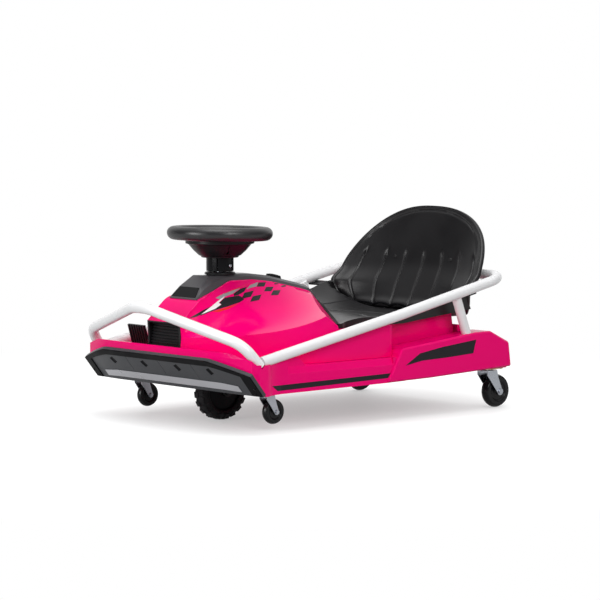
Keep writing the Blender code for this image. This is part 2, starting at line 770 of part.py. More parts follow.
def upper_shell():
    """Cowl, flanks, side walls and seat deck: one moulded shell, open below."""
    outer = cowl_solid(0.0, SEAM_Z + GAP)
    inner = cowl_solid(SHELL_WALL, SEAM_Z - 0.05, first=1)
    pocket = prism([(NOSE_FRONT_Y - 0.03, GRILLE_LOW_Z - GAP), (NOSE_FRONT_Y - 0.03, GRILLE_TOP_Z + GAP),
                    (NOSE_FRONT_Y + GRILLE_DEPTH + 0.003, GRILLE_TOP_Z + GAP),
                    (NOSE_FRONT_Y + GRILLE_DEPTH - 0.004, GRILLE_LOW_Z - GAP)],
                   -GRILLE_HALF - GAP, GRILLE_HALF + GAP, "YZ")
    column = drum(SHAFT_RADIUS + 0.006, 0.30, 0.42, 20, offset=0.5)
    return combine(outer, [inner, pocket, column])


def cap_ring(y, half_low, half_top, rise):
    low = spine_z(y) + GAP
    top = spine_z(y) + rise
    edge = min(0.002, rise * 0.25)
    half = [Vector((0, y, top)), Vector((half_top * 0.9, y, top - edge * 0.3)), Vector((half_top, y, top - edge)),
            Vector((blend(half_low, half_top, 0.35), y, blend(low, top, 0.55))), Vector((half_low, y, low))]
    return both_sides(half)


def cowl_cap():
    """Black visor in front of the column, running back as a rounded spine strip."""
    rings = []
    slim = SPINE_HALF - 0.0015
    stations = [(CAP_FRONT_Y, 0.0550, 0.0530, 0.0030), (CAP_FRONT_Y + 0.0253, 0.0530, 0.0427, 0.0240),
                (CAP_FRONT_Y + 0.0583, 0.0500, 0.0330, 0.0375), (-0.035, 0.0430, 0.0300, 0.0265),
                (0.0, slim, 0.0270, CAP_THICK), (0.075, slim, 0.0240, CAP_THICK),
                (0.140, slim, 0.0220, CAP_THICK), (0.240, slim, 0.0205, CAP_THICK),
                (TAIL_Y, slim, 0.0200, CAP_THICK), (RIM_Y - 0.001, slim, 0.0190, CAP_THICK * 1.5)]
    for y, half_low, half_top, rise in stations:
        rings.append(cap_ring(y, half_low, half_top, rise))
    cap = loft(rings, (mirror_bands, mirror_bands))
    hole = drum(SHAFT_RADIUS + 0.004, 0.30, 0.42, 20, offset=0.5)
    seat = drum(FLANGE_RADIUS + 0.003, flange_z() - GAP, 0.45, 28, offset=0.5)
    return combine(cap, [hole, seat])


def flange_z():
    """Underside of the flange that stands on the cap round the column."""
    return SPINE_TOP_Z + CAP_THICK - 0.0004 + GAP


def column_flange():
    """Round foot cover of the steering column."""
    low = flange_z()
    bore = SHAFT_RADIUS + RUN
    return turned([(bore, low), (FLANGE_RADIUS, low), (FLANGE_RADIUS, low + FLANGE_THICK * 0.6),
                   (FLANGE_RADIUS - 0.003, low + FLANGE_THICK), (bore, low + FLANGE_THICK)], 24)


def switch_top(y):
    """Top of the spine strip along its straight rear run."""
    return spine_z(y) + CAP_THICK


def switch_bezel():
    """Raised frame of the power switch, sitting on the sloping spine strip."""
    y0, y1 = SWITCH_FRONT_Y, SWITCH_REAR_Y
    lift = SWITCH_RISE
    outline = [(y0, switch_top(y0) + GAP), (y1, switch_top(y1) + GAP), (y1 - 0.003, switch_top(y1 - 0.003) + lift),
               (y0 + 0.003, switch_top(y0 + 0.003) + lift)]
    body = prism(outline, -0.012, 0.012, "YZ")
    low = [(y0 + 0.006, switch_top(y0 + 0.006) + lift - 0.005), (y1 - 0.006, switch_top(y1 - 0.006) + lift - 0.005),
           (y1 - 0.006, 0.40), (y0 + 0.006, 0.40)]
    return combine(body, [prism(low, -0.008, 0.008, "YZ")])


def power_button():
    """Sprung button that stands in the frame with a little play."""
    y0 = SWITCH_FRONT_Y + 0.006 + GAP
    y1 = SWITCH_REAR_Y - 0.006 - GAP
    low = SWITCH_RISE - 0.005 + GAP * 2 + 0.0025
    outline = [(y0, switch_top(y0) + low), (y1, switch_top(y1) + low),
               (y1, switch_top(y1) + SWITCH_RISE + 0.0010), (y0, switch_top(y0) + SWITCH_RISE + 0.0010)]
    return prism(outline, -0.008 + GAP, 0.008 - GAP, "YZ")


def grille_face(z):
    """Front of the ribs at a height: the block leans back towards its top."""
    return NOSE_FRONT_Y + 0.0045 + GRILLE_LEAN * (z - GRILLE_LOW_Z)


def grille():
    """Black block under the nose, with a groove cut across below each rib but the lowest."""
    outline = [(grille_face(GRILLE_LOW_Z), GRILLE_LOW_Z), (grille_face(GRILLE_TOP_Z), GRILLE_TOP_Z),
               (NOSE_FRONT_Y + GRILLE_DEPTH + 0.003 - GAP, GRILLE_TOP_Z),
               (NOSE_FRONT_Y + GRILLE_DEPTH - 0.004 - GAP, GRILLE_LOW_Z)]
    block = prism(outline, -GRILLE_HALF, GRILLE_HALF, "YZ")
    pitch = (GRILLE_TOP_Z - GRILLE_LOW_Z) / GRILLE_RIBS
    grooves = []
    for k in range(1, GRILLE_RIBS):
        z = GRILLE_LOW_Z + pitch * k
        front = grille_face(z) - 0.004
        deep = grille_face(z) + RIB_DEPTH
        groove = [(front, z - pitch * 0.30), (deep, z - pitch * 0.16), (deep, z + pitch * 0.16), (front, z + pitch * 0.20)]
        grooves.append(prism(groove, -GRILLE_HALF - 0.01, GRILLE_HALF + 0.01, "YZ"))
    return combine(block, grooves)


def bumper():
    """Grey guard plate with slanted slots through it."""
    plate = patch(bumper_skin, bumper_columns(BUMPER_HALF), [0.0, 0.5, 1.0], 0.0, BUMPER_THICK)
    slots = []
    for x in (-0.197, -0.068, 0.068, 0.197):
        start = bumper_skin(x - 0.002, 0.26, 0.0)
        end = bumper_skin(x + 0.002, 0.46, 0.0)
        run = (end - start).normalized()
        normal = (bumper_skin(0, 0, 1) - bumper_skin(0, 0, 0)).normalized()
        side = run.cross(normal) * 0.0022
        ring = [start - side, end - side, end + side, start + side]
        slots.append(loft([[p - normal * 0.01 for p in ring], [p + normal * 0.02 for p in ring]]))
    return combine(plate, slots)


def bumper_border():
    """Black band along the plate's top edge and down both of its ends."""
    us = bumper_columns(BUMPER_HALF)
    ts = [0.0, 0.16, 0.5, 0.97]
    last = len(us) - 2
    return patch(bumper_skin, us, ts, -BORDER_RAISE, -GAP, lambda i, j: j == 0 or i in (0, last))


def bumper_strip():
    """Bright strip along the lower part of the plate."""
    return patch(bumper_skin, bumper_columns(STRIP_HALF), [0.67, 0.88], -STRIP_RAISE, -GAP)


# Guard

def corner_deck_z():
    """Height of the tub's corner deck, which the hoop's legs go down to."""
    return SEAM_Z + (LIP_CREST_Z - SEAM_Z) * 0.30


def hoop_path():
    """Front hoop: a shallow roof over the feet, with a leg down to each corner."""
    half = [(0.030, HOOP_TOP_Y, HOOP_TOP_Z), (HOOP_BEND_X, HOOP_BEND_Y, HOOP_BEND_Z),
            (RAIL_X + 0.0065, HOOP_FOOT_Y, corner_deck_z() - 0.004)]
    corners = [(-x, y, z) for x, y, z in reversed(half)] + half
    return bent(corners, [0.060, 0.110, 0.110, 0.060], 11.0)


def extend(path, length):
    first = path[0] + (path[0] - path[1]).normalized() * length
    last = path[-1] + (path[-1] - path[-2]).normalized() * length
    return [first] + path[1:-1] + [last]


def rail_point(y):
    """Centre of the side rail at a place along the kart."""
    front = (HOOP_FOOT_Y + 0.010, corner_deck_z() + 0.005)
    z = along(y, [front, (RAIL_MID_Y, RAIL_MID_Z), (REAR_BAR_Y, RAIL_REAR_Z)])
    return Vector((RAIL_X, y, z))


def rail_path():
    """Both side rails and the rear bar: one tube bent round behind the seat."""
    half = [rail_point(HOOP_FOOT_Y + 0.010), rail_point(RAIL_MID_Y), Vector((RAIL_X, REAR_BAR_Y, RAIL_REAR_Z)),
            Vector((0.150, REAR_BAR_Y + REAR_BAR_BOW, RAIL_REAR_Z))]
    corners = half + [Vector((-p.x, p.y, p.z)) for p in reversed(half)]
    return bent(corners, [0.400, REAR_CORNER, 0.200, 0.200, REAR_CORNER, 0.400])


def guard_rails():
    """The rails are coped to fit against the legs of the hoop."""
    return combine(guard_tube(rail_path()), [guard_tube(extend(hoop_path(), 0.02), GAP)])


def guard_post():
    """Short stay from a fender up to its rail, cut to fit at both ends."""
    foot_y = 0.587
    top_y = 0.546
    foot = Vector((POST_X, foot_y + 0.003, fender_top(foot_y) - 0.010))
    top = Vector((POST_X + 0.004, top_y, rail_point(top_y).z - 0.002))
    post = tube([foot, top], POST_RADIUS, 12)
    under = prism(fender_outline(GAP), 0.2, 0.4, "YZ")
    return combine(post, [under, guard_tube(rail_path(), GAP)])


def seat_bracket():
    """Tab under a rail that the seat's side is bolted to, with a turned-down stiffener."""
    y0, y1 = 0.578, 0.612
    drop = TUBE_RADIUS * 1.03 + GAP
    inner = SEAT_HALF + GAP
    tab = [(y0, rail_point(y0).z - drop), (y1, rail_point(y1).z - drop),
           (y1, rail_point(y1).z - drop - 0.004), (y0, rail_point(y0).z - drop - 0.004)]
    flange = [(y0 + 0.004, rail_point(y0).z - drop - 0.002), (y1 - 0.002, rail_point(y1).z - drop - 0.002),
              (y1 - 0.006, rail_point(y1).z - drop - 0.016), (y0 + 0.010, rail_point(y0).z - drop - 0.012)]
    return combine(prism(tab, inner, RAIL_X, "YZ"), [prism(flange, inner, inner + 0.003, "YZ")], "UNION")


# Chassis inside the tub

def frame_z():
    return PAN_Z + GAP + FRAME_TUBE


def chassis_frame():
    """Ladder frame: two long tubes and four cross tubes resting on the pan."""
    z = frame_z()
    tubes = []
    for x in (-FRAME_HALF, FRAME_HALF):
        tubes.append(tube([Vector((x, FRAME_FRONT_Y - 0.004, z)), Vector((x, FRAME_REAR_Y + 0.004, z))],
                          FRAME_TUBE, 8))
    for y in (FRAME_FRONT_Y, 0.130, 0.345, FRAME_REAR_Y):
        tubes.append(tube([Vector((-FRAME_HALF, y, z)), Vector((FRAME_HALF, y, z))], FRAME_TUBE * 0.9, 8))
    body = combine(tubes[0], tubes[1:], "UNION")
    under = prism([(-0.5, -0.5), (0.5, -0.5), (0.5, 1.0), (-0.5, 1.0)], 0.05, PAN_Z + GAP)
    return combine(body, [under])


def tray_z():
    return PAN_Z + GAP


def battery_tray():
    """Folded sheet tray with upturned sides on the pan between the long tubes."""
    half_x = BATTERY[0] / 2 + TRAY_THICK + GAP
    half_y = BATTERY[1] + TRAY_THICK + GAP * 2
    low = tray_z()
    outer = prism([(-half_x, BATTERY_Y - half_y), (half_x, BATTERY_Y - half_y), (half_x, BATTERY_Y + half_y),
                   (-half_x, BATTERY_Y + half_y)], low, low + 0.018)
    inner_x = half_x - TRAY_THICK
    inner_y = half_y - TRAY_THICK
    inner = prism([(-inner_x, BATTERY_Y - inner_y), (inner_x, BATTERY_Y - inner_y),
                   (inner_x, BATTERY_Y + inner_y), (-inner_x, BATTERY_Y + inner_y)], low + TRAY_THICK, low + 0.1)
    return combine(outer, [inner])


def battery(row):
    """Sealed battery block with two terminals on its lid."""
    low = tray_z() + TRAY_THICK + GAP
    centre = BATTERY_Y + row * (BATTERY[1] + GAP) / 2
    x, y = BATTERY[0] / 2, BATTERY[1] / 2
    box = softened(prism([(-x, centre - y), (x, centre - y), (x, centre + y), (-x, centre + y)],
                         low, low + BATTERY[2]), 0.002)
    posts = []
    for side in (-1, 1):
        px = side * (x - 0.014)
        posts.append(prism([(px - 0.005, centre - 0.003), (px + 0.005, centre - 0.003), (px + 0.005, centre + 0.003),
                            (px - 0.005, centre + 0.003)], low + BATTERY[2] - 0.001, low + BATTERY[2] + 0.007))
    return combine(box, posts, "UNION")


def controller():
    """Finned speed controller between the batteries and the steering head."""
    low = tray_z()
    height = 0.034
    fins = 7
    width = 0.110
    outline = [(-width / 2, low), (width / 2, low)]
    pitch = width / fins
    for k in reversed(range(fins)):
        x = -width / 2 + pitch * k
        outline += [(x + pitch * 0.85, low + height), (x + pitch * 0.45, low + height),
                    (x + pitch * 0.40, low + height - 0.008), (x + pitch * 0.02, low + height - 0.008)]
    return prism(outline, 0.205, 0.290, "XZ")


def charge_socket():
    """Round charging inlet with a flange, on the driver's right wall of the shell."""
    face = -WAIST_X - GAP
    profile = [(0.0050, face), (0.0160, face), (0.0150, face - 0.003), (0.0110, face - 0.009),
               (0.0085, face - 0.009), (0.0050, face - 0.003)]
    height = (fender_top(SOCKET_Y) + ridge_z(SOCKET_Y)) / 2
    return turned(profile, 16, (0, SOCKET_Y, height), "X")


# Steering and drive wheel

def drive_tyre():
    """Solid rubber tyre with a chunky tread cut across both shoulders."""
    half = TYRE_WIDTH / 2
    inner = (HUB_RADIUS + GAP) / math.cos(math.pi / TREAD_BLOCKS)
    profile = [(inner, -half + 0.004), (HUB_RADIUS + 0.008, -half), (TYRE_RADIUS - 0.011, -half),
               (TYRE_RADIUS - 0.002, -half + 0.006), (TYRE_RADIUS, 0.0), (TYRE_RADIUS - 0.002, half - 0.006),
               (TYRE_RADIUS - 0.011, half), (HUB_RADIUS + 0.008, half), (inner, half - 0.004)]
    verts = []
    faces = []
    sides = TREAD_BLOCKS * 2
    count = len(profile)
    for s in range(sides):
        for k, (radius, across) in enumerate(profile):
            wide = 0.28 if k in (3, 4, 5) else 0.5
            angle = 2 * math.pi * (s + (wide if s % 2 else -wide) + 0.5) / sides
            if k in (3, 5) and s % 4 in (2, 3):
                radius -= TREAD_DEPTH
            verts.append(Vector((across, radius * math.sin(angle), TYRE_RADIUS - radius * math.cos(angle))))
        t = (s + 1) % sides
        for i in range(count):
            j = (i + 1) % count
            faces.append((s * count + i, s * count + j, t * count + j, t * count + i))
    return mesh_from(verts, faces)


def hub_motor():
    """Round motor case with a stepped cover on each side, turning on its axle."""
    half = TYRE_WIDTH / 2 - 0.006
    boss = FORK_LEG_X - GAP * 2
    bore = DRIVE_AXLE_RADIUS + GAP
    profile = [(bore, -boss), (0.012, -boss), (0.014, -half - 0.002), (HUB_RADIUS - 0.008, -half),
               (HUB_RADIUS, -half + 0.004), (HUB_RADIUS, half - 0.004), (HUB_RADIUS - 0.008, half),
               (0.014, half + 0.002), (0.012, boss), (bore, boss)]
    return turned(profile, 20, (0, 0, TYRE_RADIUS), "X")


def fork():
    """Steel fork: two round-ended legs under a crown plate."""
    outer = FORK_LEG_X + FORK_LEG_THICK
    half = FORK_LEG_WIDTH / 2
    crown = prism([(-outer, -half), (outer, -half), (outer, half), (-outer, half)],
                  FORK_CROWN_Z, FORK_CROWN_Z + FORK_CROWN_THICK)
    leg = [(half, FORK_CROWN_Z + FORK_CROWN_THICK / 2), (-half, FORK_CROWN_Z + FORK_CROWN_THICK / 2)]
    foot = 0.014
    for k in range(7):
        angle = math.pi + math.pi * k / 6
        leg.append((foot * math.cos(angle), TYRE_RADIUS + foot * math.sin(angle)))
    legs = prism(leg, FORK_LEG_X, outer, "YZ")
    hole = drum(DRIVE_AXLE_RADIUS + GAP, -0.06, 0.06, 14, (0, 0, TYRE_RADIUS), "X")
    shape = combine(crown, [legs, mirrored(legs)], "UNION")
    return combine(shape, [hole])


def drive_axle():
    """Axle with a flanged nut outside each fork leg."""
    outer = FORK_LEG_X + FORK_LEG_THICK + GAP
    nut = outer + 0.006
    radius = DRIVE_AXLE_RADIUS
    profile = [(0, -DRIVE_AXLE_HALF), (radius, -DRIVE_AXLE_HALF), (radius, -nut), (radius * 1.7, -nut),
               (radius * 1.7, -outer), (radius, -outer), (radius, outer), (radius * 1.7, outer),
               (radius * 1.7, nut), (radius, nut), (radius, DRIVE_AXLE_HALF), (0, DRIVE_AXLE_HALF)]
    return turned(profile, 10, (0, 0, TYRE_RADIUS), "X")


def head_tube():
    """Steering head: a tube on four splayed struts with feet on the chassis tubes."""
    barrel = drum(HEAD_TUBE_OUTER, HEAD_TUBE_LOW, HEAD_TUBE_TOP, 20)
    seat_z = frame_z() + FRAME_TUBE + GAP
    join_z = blend(HEAD_TUBE_LOW, HEAD_TUBE_TOP, 0.40)
    parts = []
    for side in (-1, 1):
        x = side * FRAME_HALF
        for end in (-1, 1):
            foot = Vector((x, end * 0.070, seat_z + 0.0015))
            top = Vector((side * 0.008, end * 0.002, join_z))
            parts.append(tube([foot, top], STRUT_RADIUS, 6))
        parts.append(prism([(x - 0.012, -0.088), (x + 0.012, -0.088), (x + 0.012, 0.088), (x - 0.012, 0.088)],
                           seat_z, seat_z + 0.004))
    shape = combine(barrel, parts, "UNION")
    under = prism([(-0.3, -0.3), (0.3, -0.3), (0.3, 0.3), (-0.3, 0.3)], 0.10, seat_z)
    inside = drum(HEAD_TUBE_OUTER - HEAD_TUBE_WALL, 0.15, 0.40, 20)
    return combine(shape, [under, inside])


def bearing(low):
    """Bearing ring pressed into one end of the head tube."""
    return ring_part(SHAFT_RADIUS + GAP, HEAD_TUBE_OUTER - HEAD_TUBE_WALL - GAP, low, low + BEARING_HEIGHT, 16)


def steering_shaft():
    """Shaft from the fork crown up through the head into the steering wheel's boss."""
    low = FORK_CROWN_Z + FORK_CROWN_THICK + GAP
    top = BOSS_LOW_Z + 0.030
    return turned([(0, low), (0.019, low), (0.019, low + 0.004), (0.016, low + 0.008),
                   (0.016, HEAD_TUBE_LOW - GAP), (SHAFT_RADIUS, HEAD_TUBE_LOW - GAP), (SHAFT_RADIUS, top),
                   (0, top)], 16)


def clamp_collar():
    """Collar that clamps the steering wheel's boss to the shaft, slit on one side."""
    low = COLLAR_LOW_Z
    high = BOSS_LOW_Z - GAP
    bore = SHAFT_RADIUS + GAP
    collar = turned([(bore, low), (COLLAR_RADIUS - 0.001, low), (COLLAR_RADIUS, low + 0.001),
                     (COLLAR_RADIUS, high), (bore, high)], 20)
    slit = prism([(0.0, -0.0010), (0.05, -0.0010), (0.05, 0.0010), (0.0, 0.0010)], low - 0.01, high + 0.01)
    slit = moved(slit, Matrix.Rotation(math.radians(-50), 4, "Z"))
    return combine(collar, [slit])


def collar_bolt():
    """Clamp bolt head standing out of the collar."""
    z = blend(COLLAR_LOW_Z, BOSS_LOW_Z, 0.42)
    return drum(0.0042, COLLAR_RADIUS + GAP, COLLAR_RADIUS + 0.0045, 10, (0, 0.002, z), "X", 0.0006)


def steering_boss():
    """Cone under the wheel, with a lip where it meets the spokes, hollow round the shaft."""
    bore = SHAFT_RADIUS + GAP
    shelf = BOSS_LOW_Z + 0.030 + GAP
    top = BOSS_TOP_Z + 0.006
    profile = [(bore, BOSS_LOW_Z), (BOSS_LOW_RADIUS, BOSS_LOW_Z), (BOSS_LOW_RADIUS + 0.002, BOSS_LOW_Z + 0.006),
               (BOSS_TOP_RADIUS, BOSS_TOP_Z), (BOSS_LIP_RADIUS, BOSS_TOP_Z + 0.001), (BOSS_LIP_RADIUS, top),
               (0, top), (0, shelf), (bore, shelf)]
    return turned(profile, 24)


def steering_rim():
    """Padded ring, a little lower at the rear, on three flat spokes and a centre pad."""
    profile = []
    for k in range(10):
        angle = 2 * math.pi * k / 10
        profile.append((WHEEL_RING_RADIUS + WHEEL_RIM_RADIUS * math.cos(angle),
                        WHEEL_HEIGHT + WHEEL_RIM_RADIUS * math.sin(angle)))
    ring = turned(profile, 26)
    swing = Matrix.Translation((0, 0, WHEEL_HEIGHT)) @ Matrix.Rotation(math.radians(-WHEEL_TILT), 4, "X")
    ring = moved(ring, swing @ Matrix.Translation((0, 0, -WHEEL_HEIGHT)))
    low = BOSS_TOP_Z + 0.006 + GAP
    parts = [drum(0.046, low, low + 0.018, 20, edge=0.002)]
    for k in range(3):
        angle = math.pi / 2 + 2 * math.pi * k / 3
        ahead = Vector((math.cos(angle), math.sin(angle), 0))
        side = Vector((-ahead.y, ahead.x, 0))
        rings = []
        for reach, wide in ((0.030, 0.022), (0.072, 0.015), (WHEEL_RING_RADIUS - 0.004, 0.019)):
            spot = ahead * reach
            rings.append([spot + side * wide + Vector((0, 0, low + 0.001)),
                          spot - side * wide + Vector((0, 0, low + 0.001)),
                          spot - side * wide + Vector((0, 0, low + 0.014)),
                          spot + side * wide + Vector((0, 0, low + 0.014))])
        parts.append(loft(rings))
    return combine(ring, parts, "UNION")


# Casters

def caster_hub_z(caster):
    """Height of a caster's axle: its wheel stands on one flat of its many-sided rim."""
    return caster["lift"] + caster["wheel"] * math.cos(math.pi / CASTER_SIDES)


def caster_plate(caster, top):
    """Square fixing plate under the tub with a raised ball race in the middle."""
    x, y = caster["x"], caster["y"]
    size = caster["wheel"] * 0.72
    low = top - CASTER_PLATE
    cut = size * 0.18
    corners = []
    for sx, sy in ((-1, -1), (1, -1), (1, 1), (-1, 1)):
        pair = [(x + sx * (size - cut), y + sy * size), (x + sx * size, y + sy * (size - cut))]
        corners += pair if sx * sy < 0 else list(reversed(pair))
    plate = prism(corners, low, top)
    race = turned([(0, low + 0.001), (size * 0.62, low + 0.001), (size * 0.62, low - 0.001),
                   (size * 0.46, low - 0.0035), (0, low - 0.0035)], 10, (x, y, 0))
    return combine(plate, [race], "UNION")


def caster_fork(caster, top):
    """Pressed fork: a round crown and two legs that sweep back to the axle."""
    x, y = caster["x"], caster["y"]
    wheel, trail = caster["wheel"], caster["trail"]
    crown_top = top - CASTER_PLATE - 0.0035 - GAP
    hub_z = caster_hub_z(caster)
    wide = wheel * 0.36 + 0.0015
    thick = 0.0022
    crown_low = crown_top - 0.0030
    crown = drum(wheel * 0.60, crown_low, crown_top, 14, (x, y, 0))
    nose = wheel * 0.40
    eye = wheel * 0.24
    leg = [(y - nose, crown_top - 0.0008), (y - nose * 1.02, blend(crown_top, hub_z, 0.22))]
    for k in range(6):
        angle = math.radians(200 + 145 * k / 5)
        leg.append((y + trail + eye * math.cos(angle), hub_z + eye * math.sin(angle)))
    leg += [(y + nose * 1.25, blend(crown_top, hub_z, 0.35)), (y + nose, crown_top - 0.0008)]
    near = prism(leg, x + wide, x + wide + thick, "YZ")
    far = prism(leg, x - wide - thick, x - wide, "YZ")
    hole = drum(wheel * 0.085 + GAP, x - 0.05, x + 0.05, 8, (0, y + trail, hub_z), "X")
    shape = combine(crown, [near, far], "UNION")
    return combine(shape, [hole])


def caster_bolt(caster):
    """Axle bolt with a head on one side and a nut on the other."""
    x, y = caster["x"], caster["y"]
    wheel = caster["wheel"]
    hub_z = caster_hub_z(caster)
    reach = wheel * 0.36 + 0.0015 + 0.0022 + GAP
    r = wheel * 0.085
    head = wheel * 0.085 * 1.9
    profile = [(0, -reach - 0.004), (head, -reach - 0.004), (head, -reach), (r, -reach), (r, reach),
               (head, reach), (head, reach + 0.0035), (0, reach + 0.0035)]
    return turned(profile, 8, (x, y + caster["trail"], hub_z), "X")


def caster_wheel(caster):
    """Rubber-tyred wheel with a domed tread and a dished hub."""
    x, y = caster["x"], caster["y"]
    wheel = caster["wheel"]
    half = wheel * 0.36
    bore = wheel * 0.085 + GAP
    profile = [(bore, -half), (wheel * 0.62, -half * 0.72), (wheel * 0.92, -half * 0.78), (wheel, -half * 0.15),
               (wheel, half * 0.15), (wheel * 0.92, half * 0.78), (wheel * 0.62, half * 0.72), (bore, half)]
    centre = (x, y + caster["trail"], caster_hub_z(caster))
    return turned(profile, CASTER_SIDES, centre, "X", 0.5)


# Seat

def seat_outline(z):
    """Half width of the seat back at a height: two superellipses over one another."""
    if z >= SEAT_WIDE_Z:
        t = min(1.0, (z - SEAT_WIDE_Z) / (SEAT_TOP_Z - SEAT_WIDE_Z))
        return SEAT_HALF * max(0.0, 1 - t ** 2.5) ** (1 / 2.3)
    t = min(1.0, (SEAT_WIDE_Z - z) / (SEAT_WIDE_Z - SEAT_FOOT_Z))
    return SEAT_HALF * (1 - 0.12 * t ** 1.6)


def seat_centre_y(z):
    """Front face of the seat back on the centre line."""
    return along(z, [(SEAT_FOOT_Z, 0.6570), (0.3700, 0.7150), (0.4500, 0.7370), (SEAT_TOP_Z, 0.7570)])


def seat_point(u, z, depth):
    """A point of the seat back: flat in the middle, curled forward to its edges."""
    half = seat_outline(z)
    x = u * half
    centre = seat_centre_y(z)
    edge = along(z, [(SEAT_FOOT_Z, 0.6420), (SEAT_WIDE_Z, 0.6200), (0.3500, 0.6520), (SEAT_TOP_Z, 0.7570)])
    curl = max(0.0, centre - edge)
    y = centre - curl * abs(u) ** 3.2 * min(1.0, (half / SEAT_HALF) ** 1.7 * 1.05)
    return Vector((x, y, z)) + SEAT_LEAN * depth


def flute_depth(u, z):
    """Depth of the moulded grooves that run up the lower half of the back."""
    fade = max(0.0, min(1.0, (SEAT_TOP_Z - 0.135 - z) / 0.0250))
    pitch = 1.68 / (SEAT_FLUTES - 1)
    nearest = round(u / pitch) * pitch
    if abs(nearest) > 0.85 or abs(u - nearest) > 0.01:
        return 0.0
    return FLUTE_DEPTH * fade


def seat_columns(fine):
    """Places across the back, with three lines to each groove where it shows."""
    pitch = 1.68 / (SEAT_FLUTES - 1)
    columns = [-1.0]
    for k in range(SEAT_FLUTES):
        centre = -0.84 + pitch * k
        columns += [centre - 0.028, centre, centre + 0.028] if fine else [centre]
    return columns + [1.0]


def seat_back_solid(depth):
    """The back as a solid reaching the given depth behind its front face."""
    low = [blend(SEAT_FOOT_Z, SEAT_WIDE_Z, part) for part in (0.0, 0.25, 0.65, 1.0)]
    high = [blend(SEAT_WIDE_Z, SEAT_TOP_Z, part) for part in (0.16, 0.33, 0.55, 0.75, 0.89, 0.965, 0.995)]
    heights = low + high
    def skin(u, z, into):
        return seat_point(u, z, into if into > 0 else flute_depth(u, z))
    return patch(skin, seat_columns(True), heights, 0.0, depth)


def seat_back():
    """Moulded back: an even wall, grooved in front, with two mounting holes."""
    body = seat_back_solid(SEAT_WALL)
    holes = []
    for x in (-SADDLE_X, SADDLE_X):
        z = RAIL_REAR_Z + 0.034
        spot = Vector((x, seat_centre_y(z), z))
        holes.append(tube([spot - SEAT_LEAN * 0.03, spot + SEAT_LEAN * 0.05], 0.0035, 8))
    return combine(body, holes)


def seat_back_space():
    """The back's front face at its foot, a gap ahead of it and open to the rear."""
    heights = [SEAT_FOOT_Z - 0.0006] + [blend(SEAT_FOOT_Z, SEAT_WIDE_Z, part) for part in (0.25, 0.65, 1.0, 1.4)]
    return patch(seat_point, [-1.06] + seat_columns(True)[1:-1] + [1.06], heights, -GAP, 0.06)


def seat_saddle():
    """Block between the rear bar and the seat back, cut to fit both."""
    z0, z1 = RAIL_REAR_Z - 0.018, RAIL_REAR_Z + 0.050
    back = REAR_BAR_Y + REAR_BAR_BOW
    outline = [(back - 0.040, z0), (back, z0), (back + 0.014, z1 - 0.020), (back + 0.024, z1), (back - 0.010, z1)]
    block = prism(outline, SADDLE_X - 0.016, SADDLE_X + 0.016, "YZ")
    bar = guard_tube(rail_path(), GAP)
    seat = seat_back_solid(SEAT_WALL + GAP)
    return combine(block, [bar, seat, seat_front_space()])


def seat_front_space():
    """Everything in front of the middle of the seat back's wall."""
    z0, z1 = SEAT_WIDE_Z - 0.02, SEAT_WIDE_Z + 0.12
    outline = [(seat_centre_y(z0) + 0.004, z0), (seat_centre_y(0.370) + 0.004, 0.370),
               (seat_centre_y(0.450) + 0.004, 0.450), (0.55, 0.450), (0.55, z0)]
    return prism(outline, -0.2, 0.2, "YZ")


def pad_rear_z():
    """The back's foot stands on the rear of the pad."""
    return SEAT_FOOT_Z + SEAT_LEAN.z * SEAT_WALL - GAP


def pad_height(x, y):
    """Top of the seat pad: a dish with raised side bolsters and a soft front roll."""
    u = abs(x) / SEAT_HALF
    rise = along(y, [(0.15, 0.03), (0.30, 0.19), (0.40, 0.44), (0.54, 0.67), (0.575, 0.84), (0.620, 1.0)])
    hold = 1.0
    if u < 0.97:
        hold = max(0.0, min(1.0, (seat_point(u, 0.275, 0.0).y - 0.006 - y) / 0.030))
    front = max(0.0, y - rim_at(x)[0])
    roll = 0.006 * math.sin(math.pi * min(1.0, front / 0.15))
    return pad_rear_z() + BOLSTER_RISE * rise * u ** 3.2 * hold + roll


def pad_under(x, y):
    """Underside of the pad: flat on the deck, stepping up over its side ridges."""
    step = max(0.0, min(1.0, (abs(x) - 0.190) / 0.022))
    return blend(DECK_Z, ridge_z(y), step) + GAP


def seat_pad():
    """Moulded seat base on the deck, with an upstand along the cowl's swept rear edge."""
    us = [-1.0, -0.95, -0.80, -0.70, -0.42, -0.13, 0.13, 0.42, 0.70, 0.80, 0.95, 1.0]
    rows = [0.0, 0.012, 0.030, 0.12, 0.25, 0.42, 0.58, 0.76, 0.86, 0.93, 1.0]
    def skin(u, t, depth):
        x = u * (SEAT_HALF + 0.006 * (t < 0.05))
        rim_y, rim_z = rim_at(x)
        y = blend(rim_y + 0.0035, PAD_REAR_Y - PAD_CUT_BACK * abs(u) ** 4, t)
        if depth > 0:
            y += 0.022 * u ** 4 * (t > 0.99)
            return Vector((x, y, pad_under(x, y)))
        top = max(pad_height(x, y), pad_under(x, y) + 0.005 * (abs(x) > 0.19))
        if t < 0.005:
            top = max(top, rim_z - 0.003)
        elif t < 0.02:
            top = max(top, rim_z + 0.0018)
        return Vector((x, y, top))
    return combine(patch(skin, us, rows, 0.0, 1.0), [seat_back_space()])


# Pedal

def pedal_axis(offset, rise):
    """A point on the leaning pedal plate: offset ahead of it, rise above its pivot."""
    lean = math.radians(PEDAL_LEAN)
    ahead = Vector((0, -math.cos(lean), -math.sin(lean)))
    up = Vector((0, -math.sin(lean), math.cos(lean)))
    return Vector((0, PEDAL_PIVOT_Y, PEDAL_PIVOT_Z)) + ahead * offset + up * rise


